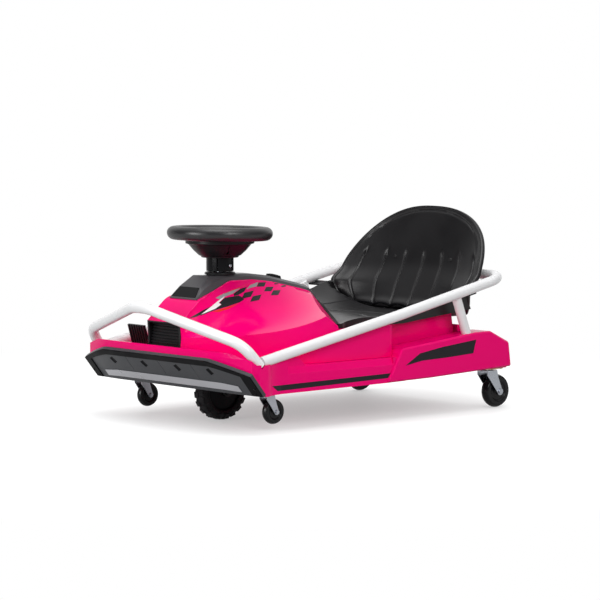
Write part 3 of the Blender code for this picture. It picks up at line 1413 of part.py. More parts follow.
def pedal():
    """Accelerator: a plate with upright ribs, on a barrel that turns on the pin."""
    half = PEDAL_WIDTH / 2
    length = (PEDAL_TOP_Z - PEDAL_PIVOT_Z) / math.cos(math.radians(PEDAL_LEAN))
    pitch = PEDAL_WIDTH / PEDAL_RIBS
    outline = [(-half, -0.0030)]
    outline.append((half, -0.0030))
    for k in reversed(range(PEDAL_RIBS)):
        x = -half + pitch * k
        outline += [(x + pitch, 0.0005), (x + pitch * 0.86, 0.0005), (x + pitch * 0.80, 0.0040),
                    (x + pitch * 0.20, 0.0040), (x + pitch * 0.14, 0.0005)]
    outline.append((-half, 0.0005))
    rings = []
    for rise in (0.030, length * 0.55, length):
        ring = []
        for x, offset in outline:
            point = pedal_axis(offset, rise)
            ring.append(Vector((PEDAL_X + x, point.y, point.z)))
        rings.append(ring)
    plate = loft(rings)
    arm = []
    for rise, wide in ((-0.001, 0.009), (0.034, 0.009)):
        ring = []
        for x, offset in ((-wide, -0.0026), (wide, -0.0026), (wide, 0.0024), (-wide, 0.0024)):
            point = pedal_axis(offset, rise)
            ring.append(Vector((PEDAL_X + x, point.y, point.z)))
        arm += [ring]
    arm = loft(arm)
    barrel = drum(0.0070, PEDAL_X - 0.009, PEDAL_X + 0.009, 12, (0, PEDAL_PIVOT_Y, PEDAL_PIVOT_Z), "X")
    bore = drum(0.0033, PEDAL_X - 0.03, PEDAL_X + 0.03, 12, (0, PEDAL_PIVOT_Y, PEDAL_PIVOT_Z), "X")
    return combine(combine(plate, [arm, barrel], "UNION"), [bore])


def pedal_bracket():
    """Floor plate with two ears that hold the pedal's pin."""
    low = FOOTWELL_FLOOR_Z + GAP
    base = prism([(PEDAL_X - 0.017, PEDAL_PIVOT_Y - 0.016), (PEDAL_X + 0.017, PEDAL_PIVOT_Y - 0.016),
                  (PEDAL_X + 0.017, PEDAL_PIVOT_Y + 0.0078), (PEDAL_X - 0.017, PEDAL_PIVOT_Y + 0.0078)],
                 low, low + BRACKET_THICK)
    ear = [(PEDAL_PIVOT_Y + 0.007, low + 0.001), (PEDAL_PIVOT_Y + 0.0076, PEDAL_PIVOT_Z)]
    for k in range(1, 6):
        angle = math.pi * k / 6
        ear.append((PEDAL_PIVOT_Y + 0.0076 * math.cos(angle), PEDAL_PIVOT_Z + 0.0076 * math.sin(angle)))
    ear += [(PEDAL_PIVOT_Y - 0.0076, PEDAL_PIVOT_Z), (PEDAL_PIVOT_Y - 0.009, low + 0.001)]
    ears = []
    for x in (PEDAL_X - 0.0170 + 0.0001, PEDAL_X + 0.0145):
        ears.append(prism(ear, x, x + 0.0024, "YZ"))
    hole = drum(0.0033, PEDAL_X - 0.04, PEDAL_X + 0.04, 12, (0, PEDAL_PIVOT_Y, PEDAL_PIVOT_Z), "X")
    return combine(combine(base, ears, "UNION"), [hole])


def pedal_pin():
    """Pin through both ears and the pedal's barrel, with a head at each end."""
    reach = 0.0170 + GAP
    r = 0.0030
    x = PEDAL_X
    profile = [(0, x - reach - 0.002), (0.0048, x - reach - 0.002), (0.0048, x - reach), (r, x - reach),
               (r, x + reach), (0.0048, x + reach), (0.0048, x + reach + 0.002), (0, x + reach + 0.002)]
    return turned(profile, 12, (0, PEDAL_PIVOT_Y, PEDAL_PIVOT_Z), "X")


def pedal_spring():
    """Torsion spring wound round the pin beside the barrel, one leg down to the bracket."""
    steps = 7
    low = PEDAL_X - 0.0145 + GAP + SPRING_WIRE
    high = PEDAL_X - 0.0090 - GAP - SPRING_WIRE
    count = round(SPRING_TURNS * steps)
    foot = FOOTWELL_FLOOR_Z + GAP + BRACKET_THICK + GAP
    points = [Vector((low, PEDAL_PIVOT_Y + SPRING_RADIUS, foot))]
    for k in range(count + 1):
        angle = 2 * math.pi * k / steps
        points.append(Vector((blend(low, high, k / count), PEDAL_PIVOT_Y + SPRING_RADIUS * math.cos(angle),
                              PEDAL_PIVOT_Z + SPRING_RADIUS * math.sin(angle))))
    return tube(points, SPRING_WIRE, 4)


# Assembly

def build():
    clear_scene()
    rear_reach = REAR_CASTER["y"] + REAR_CASTER["trail"] + REAR_CASTER["wheel"]
    front_reach = TUBE_RADIUS - HOOP_TOP_Y
    middle = (rear_reach - front_reach) / 2
    add_frame("kart_datum", (0, 0, 0))
    bpy.data.objects["kart_datum"].location = (0, -middle, 0)
    add_frame("steering_axis", (0, 0, TYRE_RADIUS), "kart_datum")
    add_frame("drive_axis", (0, 0, TYRE_RADIUS), "steering_axis")
    add_frame("pedal_axis", (PEDAL_X, PEDAL_PIVOT_Y, PEDAL_PIVOT_Z), "kart_datum")
    button_y = (SWITCH_FRONT_Y + SWITCH_REAR_Y) / 2
    add_frame("button_axis", (0, button_y, switch_top(button_y) + SWITCH_RISE), "kart_datum")

    pink = make_material("pink_gloss_plastic", (0.85, 0.004, 0.16), 0.25)
    black = make_material("black_satin_plastic", (0.018, 0.018, 0.020), 0.5)
    grey = make_material("dark_grey_plastic", (0.075, 0.075, 0.080), 0.6)
    silver = make_material("silver_strip", (0.38, 0.38, 0.40), 0.4, 0.3)
    white = make_material("white_powder_coat", (0.86, 0.86, 0.86), 0.3)
    steel = make_material("zinc_plated_steel", (0.62, 0.63, 0.65), 0.35, 1.0)
    rubber = make_material("black_rubber", (0.012, 0.012, 0.013), 0.75)
    seat_black = make_material("seat_black_plastic", (0.020, 0.020, 0.022), 0.45)
    frame_black = make_material("black_frame_paint", (0.03, 0.03, 0.03), 0.5)
    battery_grey = make_material("battery_case", (0.10, 0.10, 0.11), 0.6)
    cast = make_material("cast_aluminium", (0.45, 0.46, 0.47), 0.4, 1.0)

    add_piece("lower_tub", lower_tub(), pink)
    add_piece("upper_shell", upper_shell(), pink)
    add_piece("cowl_cap", cowl_cap(), black)
    add_piece("nose_grille", grille(), black)
    add_piece("front_bumper", bumper(), grey)
    add_piece("bumper_border", bumper_border(), black)
    add_piece("bumper_strip", bumper_strip(), silver)
    add_piece("guard_hoop", guard_tube(hoop_path()), white)
    add_piece("guard_rails", guard_rails(), white)
    post = guard_post()
    add_piece("guard_post_left", post, white)
    add_piece("guard_post_right", mirrored(post), white)
    add_piece("seat_back", seat_back(), seat_black)
    add_piece("seat_pad", seat_pad(), seat_black)
    saddle = seat_saddle()
    add_piece("seat_saddle_left", saddle, black)
    add_piece("seat_saddle_right", mirrored(saddle), black)
    bracket = seat_bracket()
    add_piece("seat_bracket_left", bracket, black)
    add_piece("seat_bracket_right", mirrored(bracket), black)
    add_piece("column_flange", column_flange(), black)
    add_piece("switch_bezel", switch_bezel(), black)
    add_piece("power_button", power_button(), rubber, "button_axis")

    add_piece("chassis_frame", chassis_frame(), frame_black)
    add_piece("steering_head", head_tube(), frame_black)
    add_piece("head_bearing_upper", bearing(HEAD_TUBE_TOP - BEARING_HEIGHT), steel)
    add_piece("head_bearing_lower", bearing(HEAD_TUBE_LOW), steel)
    add_piece("battery_tray", battery_tray(), steel)
    add_piece("battery_front", battery(-1), battery_grey)
    add_piece("battery_rear", battery(1), battery_grey)
    add_piece("speed_controller", controller(), cast)
    add_piece("charge_socket", charge_socket(), black)

    add_piece("pedal_bracket", pedal_bracket(), steel)
    add_piece("pedal_pin", pedal_pin(), steel)
    add_piece("pedal_spring", pedal_spring(), steel)
    add_piece("drive_pedal", pedal(), black, "pedal_axis", 20.0)

    add_piece("drive_fork", fork(), steel, "steering_axis")
    add_piece("drive_axle", drive_axle(), steel, "steering_axis")
    add_piece("steering_shaft", steering_shaft(), steel, "steering_axis")
    add_piece("clamp_collar", clamp_collar(), black, "steering_axis")
    add_piece("collar_bolt", collar_bolt(), steel, "steering_axis")
    add_piece("steering_boss", steering_boss(), black, "steering_axis")
    add_piece("steering_rim", steering_rim(), black, "steering_axis")
    add_piece("drive_tyre", drive_tyre(), rubber, "drive_axis")
    add_piece("hub_motor", hub_motor(), cast, "drive_axis")

    for end, caster in (("front", FRONT_CASTER), ("rear", REAR_CASTER)):
        top = pad_z(caster) - GAP
        meshes = []
        for side, sign in (("left", 1), ("right", -1)):
            here = dict(caster, x=sign * caster["x"])
            key = f"{end}_{side}"
            hub_z = caster_hub_z(here)
            add_frame(f"{key}_swivel", (here["x"], here["y"], top), "kart_datum")
            add_frame(f"{key}_hub", (here["x"], here["y"] + here["trail"], hub_z), f"{key}_swivel")
            if not meshes:
                add_piece(f"{key}_caster_plate", caster_plate(here, top), steel)
                for kind, mesh, material, frame in (("fork", caster_fork(here, top), steel, "swivel"),
                                                    ("bolt", caster_bolt(here), steel, "swivel"),
                                                    ("wheel", caster_wheel(here), rubber, "hub")):
                    meshes.append((kind, add_piece(f"{key}_caster_{kind}", mesh, material, f"{key}_{frame}"), frame))
            else:
                add_piece(f"{key}_caster_plate", caster_plate(here, top), steel)
                for kind, twin, frame in meshes:
                    copy_piece(f"{key}_caster_{kind}", twin, f"{key}_{frame}")


build()
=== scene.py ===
import math

import bmesh
import bpy
from mathutils import Matrix, Vector
from mathutils.bvhtree import BVHTree


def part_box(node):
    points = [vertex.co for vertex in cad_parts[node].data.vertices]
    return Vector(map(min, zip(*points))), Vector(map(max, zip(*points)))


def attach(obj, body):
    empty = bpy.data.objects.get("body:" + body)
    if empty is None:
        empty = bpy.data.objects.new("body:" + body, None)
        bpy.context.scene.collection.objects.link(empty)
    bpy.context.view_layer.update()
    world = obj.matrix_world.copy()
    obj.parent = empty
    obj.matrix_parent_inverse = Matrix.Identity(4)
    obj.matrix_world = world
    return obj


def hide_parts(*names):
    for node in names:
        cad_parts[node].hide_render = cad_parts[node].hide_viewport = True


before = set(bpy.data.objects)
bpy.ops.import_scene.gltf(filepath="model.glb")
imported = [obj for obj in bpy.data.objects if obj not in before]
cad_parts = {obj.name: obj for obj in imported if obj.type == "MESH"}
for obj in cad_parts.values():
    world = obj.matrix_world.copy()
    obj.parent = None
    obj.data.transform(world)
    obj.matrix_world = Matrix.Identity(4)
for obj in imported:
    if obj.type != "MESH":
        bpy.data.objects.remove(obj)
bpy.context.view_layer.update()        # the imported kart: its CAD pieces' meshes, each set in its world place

# Room: a long lens looks at the driver's left front corner from a low place, over a white floor that
# glows. Ambient occlusion dims its glow into a painted shade where the kart stands, added over the
# real shadow that the lamps cast on it. Three soft boxes light it, under a pale sky that is
# brighter overhead and behind the kart.
TURN, DIP = math.radians(48.976), math.radians(4.312)
CAMERA_PLACE = Vector((5.1193, -4.4340, 0.8061))
FLOOR_HALF, FLOOR_GLOSS, SHADE_REACH, WHITE_FROM, WHITE_TO = 9.0, 0.55, 0.45, 0.9, 1.9
PAINTED_SHADE_GLOW, GLOW_LIGHT, SKY_FILL = 0.36, 0.88, 0.42
BEHIND_THE_KART = (-0.7545, 0.6563, 0.0)
BOX_AIM = Vector((0, 0, 0.2))


def placed(name, data):
    """A new object in the scene, at its origin."""
    obj = bpy.data.objects.new(name, data)
    bpy.context.scene.collection.objects.link(obj)
    return obj


camera = placed("camera", bpy.data.cameras.new("camera"))
bpy.context.scene.camera = camera
back = Vector((math.sin(TURN) * math.cos(DIP), -math.cos(TURN) * math.cos(DIP), math.sin(DIP)))
right = Vector((math.cos(TURN), math.sin(TURN), 0))
aim = Matrix((right, back.cross(right), back)).transposed().to_4x4()
aim.translation = CAMERA_PLACE
camera.matrix_world = aim
camera.data.sensor_width = 36.0
camera.data.lens = 154.94
camera.data.clip_end = 60.0
bpy.context.scene.view_settings.view_transform = "Standard"


def feed(tree, socket, value):
    """Give an input its plain value, or link another node's output to it."""
    if isinstance(value, bpy.types.NodeSocket):
        tree.links.new(value, socket)
    else:
        socket.default_value = value


def add_node(tree, kind, *feeds, **settings):
    """A node of the given kind; a setting is a property or, by its name, an input.

    The feeds go to its first inputs. Properties come before inputs among the settings.
    """
    node = tree.nodes.new(kind)
    for key, value in settings.items():
        if hasattr(node, key):
            setattr(node, key, value)
        else:
            feed(tree, node.inputs[key.replace("_", " ")], value)
    for socket, value in zip(node.inputs, feeds):
        feed(tree, socket, value)
    return node


def reckon(tree, operation, *values):
    """The output of one Math node that works on sockets or plain numbers."""
    return add_node(tree, "ShaderNodeMath", *values, operation=operation).outputs[0]


def ramp(tree, value, **limits):
    """The output of one Map Range node."""
    return add_node(tree, "ShaderNodeMapRange", value, **limits).outputs["Result"]


def soft_ramp(tree, value, start, end, low=0.0):
    """A ramp from low to 1 that eases in and out between two values."""
    return ramp(tree, value, interpolation_type="SMOOTHSTEP", From_Min=start, From_Max=end, To_Min=low)


def new_material(name, colour, roughness, metallic=0.0):
    """A material with its shader's plain values set; returns the material and its shader."""
    material = bpy.data.materials.new(name)
    material.use_nodes = True
    shader = material.node_tree.nodes["Principled BSDF"]
    shader.inputs["Base Color"].default_value = (*colour, 1.0)
    shader.inputs["Roughness"].default_value = roughness
    shader.inputs["Metallic"].default_value = metallic
    return material, shader


def white_floor():
    """The floor glows white to the eye; ambient occlusion dims the glow into a painted neutral shade where
    the kart stands over it, added over the lamps' real shadow.
    """
    material, shader = new_material("floor_white", (0.36, 0.37, 0.37), 0.6)
    tree = material.node_tree
    rays = add_node(tree, "ShaderNodeLightPath").outputs
    reflected = reckon(tree, "MULTIPLY", rays["Is Glossy Ray"], FLOOR_GLOSS)
    seen = reckon(tree, "MAXIMUM", rays["Is Camera Ray"], reflected)
    # painted shade: the floor's glow drops where ambient occlusion finds the kart close above it
    shade = add_node(tree, "ShaderNodeAmbientOcclusion", samples=8, Distance=SHADE_REACH).outputs["AO"]
    glow = ramp(tree, shade, To_Min=PAINTED_SHADE_GLOW, To_Max=GLOW_LIGHT)
    shader.inputs["Specular IOR Level"].default_value = 0.1
    shader.inputs["Emission Color"].default_value = (1, 1, 1, 1)
    feed(tree, shader.inputs["Emission Strength"], reckon(tree, "MULTIPLY", glow, seen))
    spot = add_node(tree, "ShaderNodeTexCoord").outputs["Object"]
    away = add_node(tree, "ShaderNodeVectorMath", spot, operation="LENGTH").outputs["Value"]
    share = reckon(tree, "MULTIPLY", soft_ramp(tree, away, WHITE_FROM, WHITE_TO), seen)
    white = add_node(tree, "ShaderNodeEmission", (1, 1, 1, 1)).outputs[0]
    mix = add_node(tree, "ShaderNodeMixShader", share, shader.outputs[0], white)
    feed(tree, tree.nodes["Material Output"].inputs["Surface"], mix.outputs[0])
    return material


floor_mesh = bpy.data.meshes.new("floor")
floor_corners = ((-1, -1), (1, -1), (1, 1), (-1, 1))
floor_mesh.from_pydata([(x * FLOOR_HALF, y * FLOOR_HALF, 0) for x, y in floor_corners], [], [(0, 1, 2, 3)])
floor = placed("floor", floor_mesh)
floor_mesh.materials.append(white_floor())

sky = bpy.data.worlds.new("pale_sky")
bpy.context.scene.world = sky
sky.use_nodes = True
sky_tree = sky.node_tree
sky_rays = add_node(sky_tree, "ShaderNodeLightPath").outputs
sky_way = add_node(sky_tree, "ShaderNodeTexCoord").outputs["Generated"]
sky_height = add_node(sky_tree, "ShaderNodeSeparateXYZ", sky_way).outputs["Z"]
sky_over = soft_ramp(sky_tree, sky_height, 0.25, 0.90, 0.10)
sky_facing = add_node(sky_tree, "ShaderNodeVectorMath", sky_way, BEHIND_THE_KART, operation="DOT_PRODUCT")
sky_behind = soft_ramp(sky_tree, sky_facing.outputs["Value"], 0.30, 0.85)
sky_pale = reckon(sky_tree, "MAXIMUM", sky_over, sky_behind)
sky_gloss = reckon(sky_tree, "MULTIPLY", sky_pale, sky_rays["Is Glossy Ray"])
sky_seen = reckon(sky_tree, "MAXIMUM", sky_rays["Is Camera Ray"], sky_rays["Is Transmission Ray"])
sky_fill = reckon(sky_tree, "MULTIPLY", sky_rays["Is Diffuse Ray"], SKY_FILL)
feed(sky_tree, sky_tree.nodes["Background"].inputs["Color"], (1, 1, 1, 1))
feed(sky_tree, sky_tree.nodes["Background"].inputs["Strength"],
     reckon(sky_tree, "MAXIMUM", reckon(sky_tree, "MAXIMUM", sky_seen, sky_gloss), sky_fill))

for box_name, place, size, power in (("soft_box_over", (0.3, -0.4, 2.4), 1.6, 27.0),
                                     ("soft_box_side", (3.2, -0.9, 1.7), 1.4, 52.0),
                                     ("soft_box_front", (-0.3, -3.3, 0.9), 1.2, 46.0)):
    light = bpy.data.lights.new(box_name, "AREA")
    light.shape = "SQUARE"
    light.size = size
    light.energy = power
    lamp = placed(box_name, light)
    lamp.location = place
    lamp.rotation_euler = (BOX_AIM - lamp.location).to_track_quat("-Z", "Y").to_euler()

# Lower tub: one moulded shell of glossy pink polypropylene with the pan, both sills, the rear
# fenders and the nose lip. Its edges are rounded by the mould and its gloss shows fine orange peel.
# Black vinyl stripes with square ends are stuck along both sills.
shaft_low, shaft_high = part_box("steering_shaft")
axis_y = (shaft_low.y + shaft_high.y) / 2       # the steering axis stands here in the frame
FROM_AXIS = Vector((0, axis_y, 0))
TUB_EDGE, STICKER_LIFT, STICKER_WALL, STICKER_SIGHT, DRAWING = 0.0022, 0.00035, 0.00020, 0.004, 600


def plain_mesh(obj, name):
    """The object's finished mesh, with all its modifiers applied."""
    graph = bpy.context.evaluated_depsgraph_get()
    mesh = bpy.data.meshes.new_from_object(obj.evaluated_get(graph))
    mesh.name = name
    return mesh


def modified(mesh, kind, **settings):
    """The mesh with one modifier applied; a tree's input is set by its identifier."""
    blank = placed("blank", mesh)
    change = blank.modifiers.new("change", kind)
    for key, value in settings.items():
        if hasattr(change, key):
            setattr(change, key, value)
        else:
            change[key] = value
    result = plain_mesh(blank, mesh.name)
    bpy.data.objects.remove(blank, do_unlink=True)
    return result


def to_mesh(shape, mesh):
    """Write a bmesh into a mesh, and free it."""
    shape.to_mesh(mesh)
    shape.free()
    return mesh


def loaded(mesh):
    """A bmesh that holds the mesh."""
    shape = bmesh.new()
    shape.from_mesh(mesh)
    return shape


def merged_copy(node):
    """A CAD piece's loose triangles as one closed mesh with whole flat faces."""
    shape = loaded(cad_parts[node].data)
    bmesh.ops.remove_doubles(shape, verts=shape.verts, dist=2e-5)
    bmesh.ops.dissolve_degenerate(shape, edges=shape.edges, dist=1e-5)
    bmesh.ops.dissolve_limit(shape, angle_limit=math.radians(0.5), verts=shape.verts, edges=shape.edges)
    return to_mesh(shape, bpy.data.meshes.new(node))


def mark_edges(mesh, width):
    """Write 1 on the narrow faces that round an edge and 0 on the rest, for the mask of tinted edges:
    scuffing on most finishes, a painted highlight on the pink plastic.
    """
    mask = mesh.attributes.new("edge", "FLOAT", "FACE")
    values = []
    for face in mesh.polygons:
        corners = [mesh.vertices[v].co for v in face.vertices]
        longest = max((corners[i] - corners[i - 1]).length for i in range(len(corners)))
        values.append(1.0 if face.area < width * longest else 0.0)
    mask.data.foreach_set("value", values)


def rounded(mesh, width, segments=3, angle=26.0, short=None):
    """The mesh with its sharp edges rounded; edges too short to round are left out."""
    short = width * 2.1 if short is None else short
    shape = loaded(mesh)
    weight = shape.edges.layers.float.new("bevel_weight_edge")
    for edge in shape.edges:
        if len(edge.link_faces) == 2 and edge.calc_face_angle(0.0) >= math.radians(angle):
            if min(e.calc_length() for v in edge.verts for e in v.link_edges) > short:
                edge[weight] = 1.0
    result = modified(to_mesh(shape, mesh), "BEVEL", width=width, segments=segments, limit_method="WEIGHT")
    mark_edges(result, width * 0.6)
    return result


def add_piece(name, mesh, material, body, nodes=(), crease=32.0, weighted=True):
    """Put a finished mesh in the scene, riding on its body and standing for its CAD nodes."""
    mesh.name = name
    obj = placed(name, mesh)
    mesh.materials.clear()
    mesh.materials.append(material)
    mesh.shade_smooth()
    mesh.set_sharp_from_angle(angle=math.radians(crease))
    if weighted:
        obj.modifiers.new("even_shading", "WEIGHTED_NORMAL").keep_sharp = True
    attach(obj, body)
    if nodes:
        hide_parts(*nodes)
    return obj


def shader_group(name, inputs, outputs):
    """An empty node group with named number inputs and outputs."""
    group = bpy.data.node_groups.new(name, "ShaderNodeTree")
    for label, value in inputs:
        socket = group.interface.new_socket(label, in_out="INPUT", socket_type="NodeSocketFloat")
        socket.default_value = value
    for label in outputs:
        group.interface.new_socket(label, in_out="OUTPUT", socket_type="NodeSocketFloat")
    return group, group.nodes.new("NodeGroupInput").outputs, group.nodes.new("NodeGroupOutput").inputs


def noise(tree, **settings):
    """The output of a Noise texture on the piece's own coordinates."""
    spot = add_node(tree, "ShaderNodeTexCoord").outputs["Object"]
    return add_node(tree, "ShaderNodeTexNoise", spot, **settings).outputs["Fac"]


grain_group, grain_in, grain_out = shader_group(
    "moulded_grain", (("Grain Scale", 900.0), ("Wave Scale", 60.0), ("Wave Share", 0.5)),
    ("Height", "Mottle"))
grain_mix = add_node(grain_group, "ShaderNodeMix", Factor=grain_in["Wave Share"],
                     A=noise(grain_group, Scale=grain_in["Grain Scale"], Detail=2.0),
                     B=noise(grain_group, Scale=grain_in["Wave Scale"], Detail=1.0))
feed(grain_group, grain_out["Height"], grain_mix.outputs["Result"])
feed(grain_group, grain_out["Mottle"], noise(grain_group, Scale=9.0, Detail=4.0))

# Edge tint in patches on rounded edges: scuffing on most finishes; on the pink plastic its lighter pink is
# a painted highlight.
scuff_and_highlight_group, scuff_and_highlight_in, scuff_and_highlight_out = shader_group(
    "edge_wear", (("Patch Scale", 45.0), ("Amount", 0.5)), ("Mask",))
edge_flag = add_node(scuff_and_highlight_group, "ShaderNodeAttribute", attribute_name="edge").outputs["Fac"]
edge_patches = ramp(scuff_and_highlight_group, noise(scuff_and_highlight_group, Scale=scuff_and_highlight_in["Patch Scale"], Detail=5.0, Roughness=0.65),
                    From_Min=0.42, From_Max=0.62)
patches_on_edges = reckon(scuff_and_highlight_group, "MULTIPLY", edge_patches, edge_flag)
feed(scuff_and_highlight_group, scuff_and_highlight_out["Mask"], reckon(scuff_and_highlight_group, "MULTIPLY", patches_on_edges, scuff_and_highlight_in["Amount"]))


def finish_material(name, colour, roughness, metallic=0.0, grain=900.0, wave=60.0, wave_share=0.5,
                    bump=0.0004, strength=0.25, scuff_and_highlight_colour=None, scuff_and_highlight_amount=0.5, mottle=0.12, spread=0.10, shine=0.20):
    """A surface finish: moulded grain in its bump, cloudy colour and gloss, and edges tinted in patches, as
    scuffing on most finishes and as a painted highlight on the pink plastic.
    """
    material, shader = new_material(name, colour, roughness, metallic)
    shader.inputs["Specular IOR Level"].default_value = shine
    tree = material.node_tree
    grains = add_node(tree, "ShaderNodeGroup", node_tree=grain_group, Grain_Scale=grain, Wave_Scale=wave,
                      Wave_Share=wave_share).outputs
    mask = add_node(tree, "ShaderNodeGroup", node_tree=scuff_and_highlight_group, Amount=scuff_and_highlight_amount).outputs["Mask"]
    relief = add_node(tree, "ShaderNodeBump", Strength=strength, Distance=bump, Height=grains["Height"])
    feed(tree, shader.inputs["Normal"], relief.outputs["Normal"])
    clouds = add_node(tree, "ShaderNodeMix", data_type="RGBA", Factor=grains["Mottle"],
                      A=(*(c * (1 - mottle) for c in colour), 1),
                      B=(*(min(1.0, c * (1 + mottle)) for c in colour), 1))
    scuffs_and_highlights = add_node(tree, "ShaderNodeMix", data_type="RGBA", Factor=mask, A=clouds.outputs["Result"],
                      B=(*(scuff_and_highlight_colour or (min(1.0, c * 1.4 + 0.02) for c in colour)), 1))
    feed(tree, shader.inputs["Base Color"], scuffs_and_highlights.outputs["Result"])
    gloss = ramp(tree, grains["Mottle"], From_Min=0.3, From_Max=0.7,
                 To_Min=max(0.02, roughness - spread), To_Max=min(1.0, roughness + spread))
    dull = add_node(tree, "ShaderNodeMath", mask, 0.25, gloss, operation="MULTIPLY_ADD", use_clamp=True)
    feed(tree, shader.inputs["Roughness"], dull.outputs[0])
    return material


# Painted highlight: the lighter pink tint on the rounded edges stands in for the gloss catching the light
# there.
pink_plastic = finish_material("pink_gloss_plastic", (0.86, 0.0004, 0.160), 0.15, grain=1400.0, wave=210.0,
                               wave_share=0.75, bump=0.00025, strength=0.10, scuff_and_highlight_colour=(0.92, 0.09, 0.32),
                               scuff_and_highlight_amount=0.45, mottle=0.03, spread=0.04, shine=0.06)

vinyl_black = finish_material("vinyl_black", (0.010, 0.009, 0.012), 0.34, grain=1800.0, strength=0.08,
                              mottle=0.10, spread=0.06)

tub = add_piece("tub_body", rounded(merged_copy("lower_tub"), TUB_EDGE), pink_plastic, "kart",
                ["lower_tub"])


def surface_of(piece):
    """A finished piece's surface and its search tree, to lay stickers on."""
    carrier = loaded(plain_mesh(piece, "surface"))
    return carrier, BVHTree.FromBMesh(carrier)


def drawn_ray(u, v):
    """The line of sight through a point of the drawing, which is as wide as it is high."""
    scale = camera.data.sensor_width / camera.data.lens / DRAWING
    return (aim.to_3x3() @ Vector(((u - DRAWING / 2) * scale, (DRAWING / 2 - v) * scale, -1))).normalized()


def drawn_at(point):
    """Where a point of the kart falls in the drawing."""
    ahead = aim.inverted() @ point
    scale = camera.data.sensor_width / camera.data.lens / DRAWING
    return DRAWING / 2 - ahead.x / ahead.z / scale, DRAWING / 2 + ahead.y / ahead.z / scale


def mirrored(points):
    """The points' mirror images on the kart's other side."""
    return [Vector((-p.x, p.y, p.z)) for p in points]


def inside(spot, outline):
    """Whether a drawn point lies in an outline."""
    crossings = 0
    for (u0, v0), (u1, v1) in zip(outline, outline[1:] + outline[:1]):
        if (v0 > spot[1]) != (v1 > spot[1]) and spot[0] < u0 + (u1 - u0) * (spot[1] - v0) / (v1 - v0):
            crossings += 1
    return crossings % 2 == 1


def surface_cut(outline, carrier, tree, result):
    """Cut an outline, drawn as seen from the camera's place, out of the carrying surface itself."""
    low = [min(spot[k] for spot in outline) for k in (0, 1)]
    high = [max(spot[k] for spot in outline) for k in (0, 1)]
    shape = carrier.copy()
    doomed = []
    for face in shape.faces:
        seen = [drawn_at(v.co) for v in face.verts]
        away = face.normal.dot(face.calc_center_median() - aim.translation) >= 0
        clear = any(max(c[k] for c in seen) < low[k] or min(c[k] for c in seen) > high[k] for k in (0, 1))
        if away or clear:
            doomed.append(face)
    bmesh.ops.delete(shape, geom=doomed, context="FACES")
    bmesh.ops.triangulate(shape, faces=shape.faces)
    for first, second in zip(outline, outline[1:] + outline[:1]):
        bmesh.ops.bisect_plane(shape, geom=shape.verts[:] + shape.edges[:] + shape.faces[:],
                               plane_co=aim.translation, dist=1e-6,
                               plane_no=drawn_ray(*first).cross(drawn_ray(*second)).normalized())
    doomed = []
    for face in shape.faces:
        middle = face.calc_center_median()
        sight = middle - aim.translation
        hit = tree.ray_cast(aim.translation, sight.normalized())[0]
        hidden = hit is None or (hit - aim.translation).length < sight.length - STICKER_SIGHT
        if hidden or not inside(drawn_at(middle), outline):
            doomed.append(face)
    bmesh.ops.delete(shape, geom=doomed, context="FACES")
    start = len(result[0])
    shape.verts.index_update()
    result[0].extend(v.co + v.normal * STICKER_LIFT for v in shape.verts)
    result[1].extend([start + v.index for v in face.verts] for face in shape.faces)
    shape.free()


def sticker(name, outlines, surface, material, side=1):
    """A thin vinyl sticker that follows every crease of the surface it is laid on."""
    result = ([], [])
    for outline in outlines:
        surface_cut(outline, *surface, result)
    if side < 0:
        result = (mirrored(result[0]), [face[::-1] for face in result[1]])
    mesh = bpy.data.meshes.new(name)
    mesh.from_pydata([tuple(p) for p in result[0]], [], result[1])
    mesh = modified(mesh, "SOLIDIFY", thickness=STICKER_WALL, offset=-1.0)
    add_piece(name, mesh, material, "kart", crease=30.0, weighted=False)


tub_surface = surface_of(tub)
sill_stripe = [(272.3, 386.2), (390.6, 373.2), (388.0, 378.0), (277.5, 391.2)]
fender_panel = [(405.6, 365.6), (420.0, 353.4), (442.5, 347.0), (476.2, 339.6), (473.2, 353.2),
                (447.5, 357.4), (422.5, 360.6)]
for side, key in ((1, "left"), (-1, "right")):
    sticker(f"sill_stripe_{key}", [sill_stripe], tub_surface, vinyl_black, side)
    sticker(f"fender_panel_{key}", [fender_panel], tub_surface, vinyl_black, side)

# Chassis: a ladder of painted steel tubes rests on the pan and carries the sheet battery tray, two
# sealed batteries and the finned speed controller. It is bolted down before the cowl goes on.
painted_steel = finish_material("black_frame_paint", (0.014, 0.014, 0.015), 0.42, grain=700.0,
                                strength=0.20, scuff_and_highlight_colour=(0.30, 0.30, 0.31), scuff_and_highlight_amount=0.5)
zinc = finish_material("zinc_plated_steel", (0.44, 0.46, 0.50), 0.30, 1.0, grain=500.0, wave=90.0,
                       bump=0.0002, strength=0.22, scuff_and_highlight_colour=(0.80, 0.81, 0.83), scuff_and_highlight_amount=0.6, mottle=0.16,
                       spread=0.12)
battery_case = finish_material("battery_case", (0.090, 0.090, 0.098), 0.55, grain=1100.0, strength=0.35,
                               mottle=0.10)
cast_alloy = finish_material("cast_aluminium", (0.42, 0.43, 0.45), 0.46, 1.0, grain=650.0, bump=0.0005,
                             strength=0.45, scuff_and_highlight_colour=(0.62, 0.63, 0.65), mottle=0.14)


def dressed(node, name, width, material, body, slot, angle=26.0, crease=32.0):
    """A CAD piece kept in its own shape, with its edges rounded and its finish on."""
    return add_piece(name, rounded(merged_copy(node), width, 2, angle, width * 1.3), material, body,
                     [node], crease)


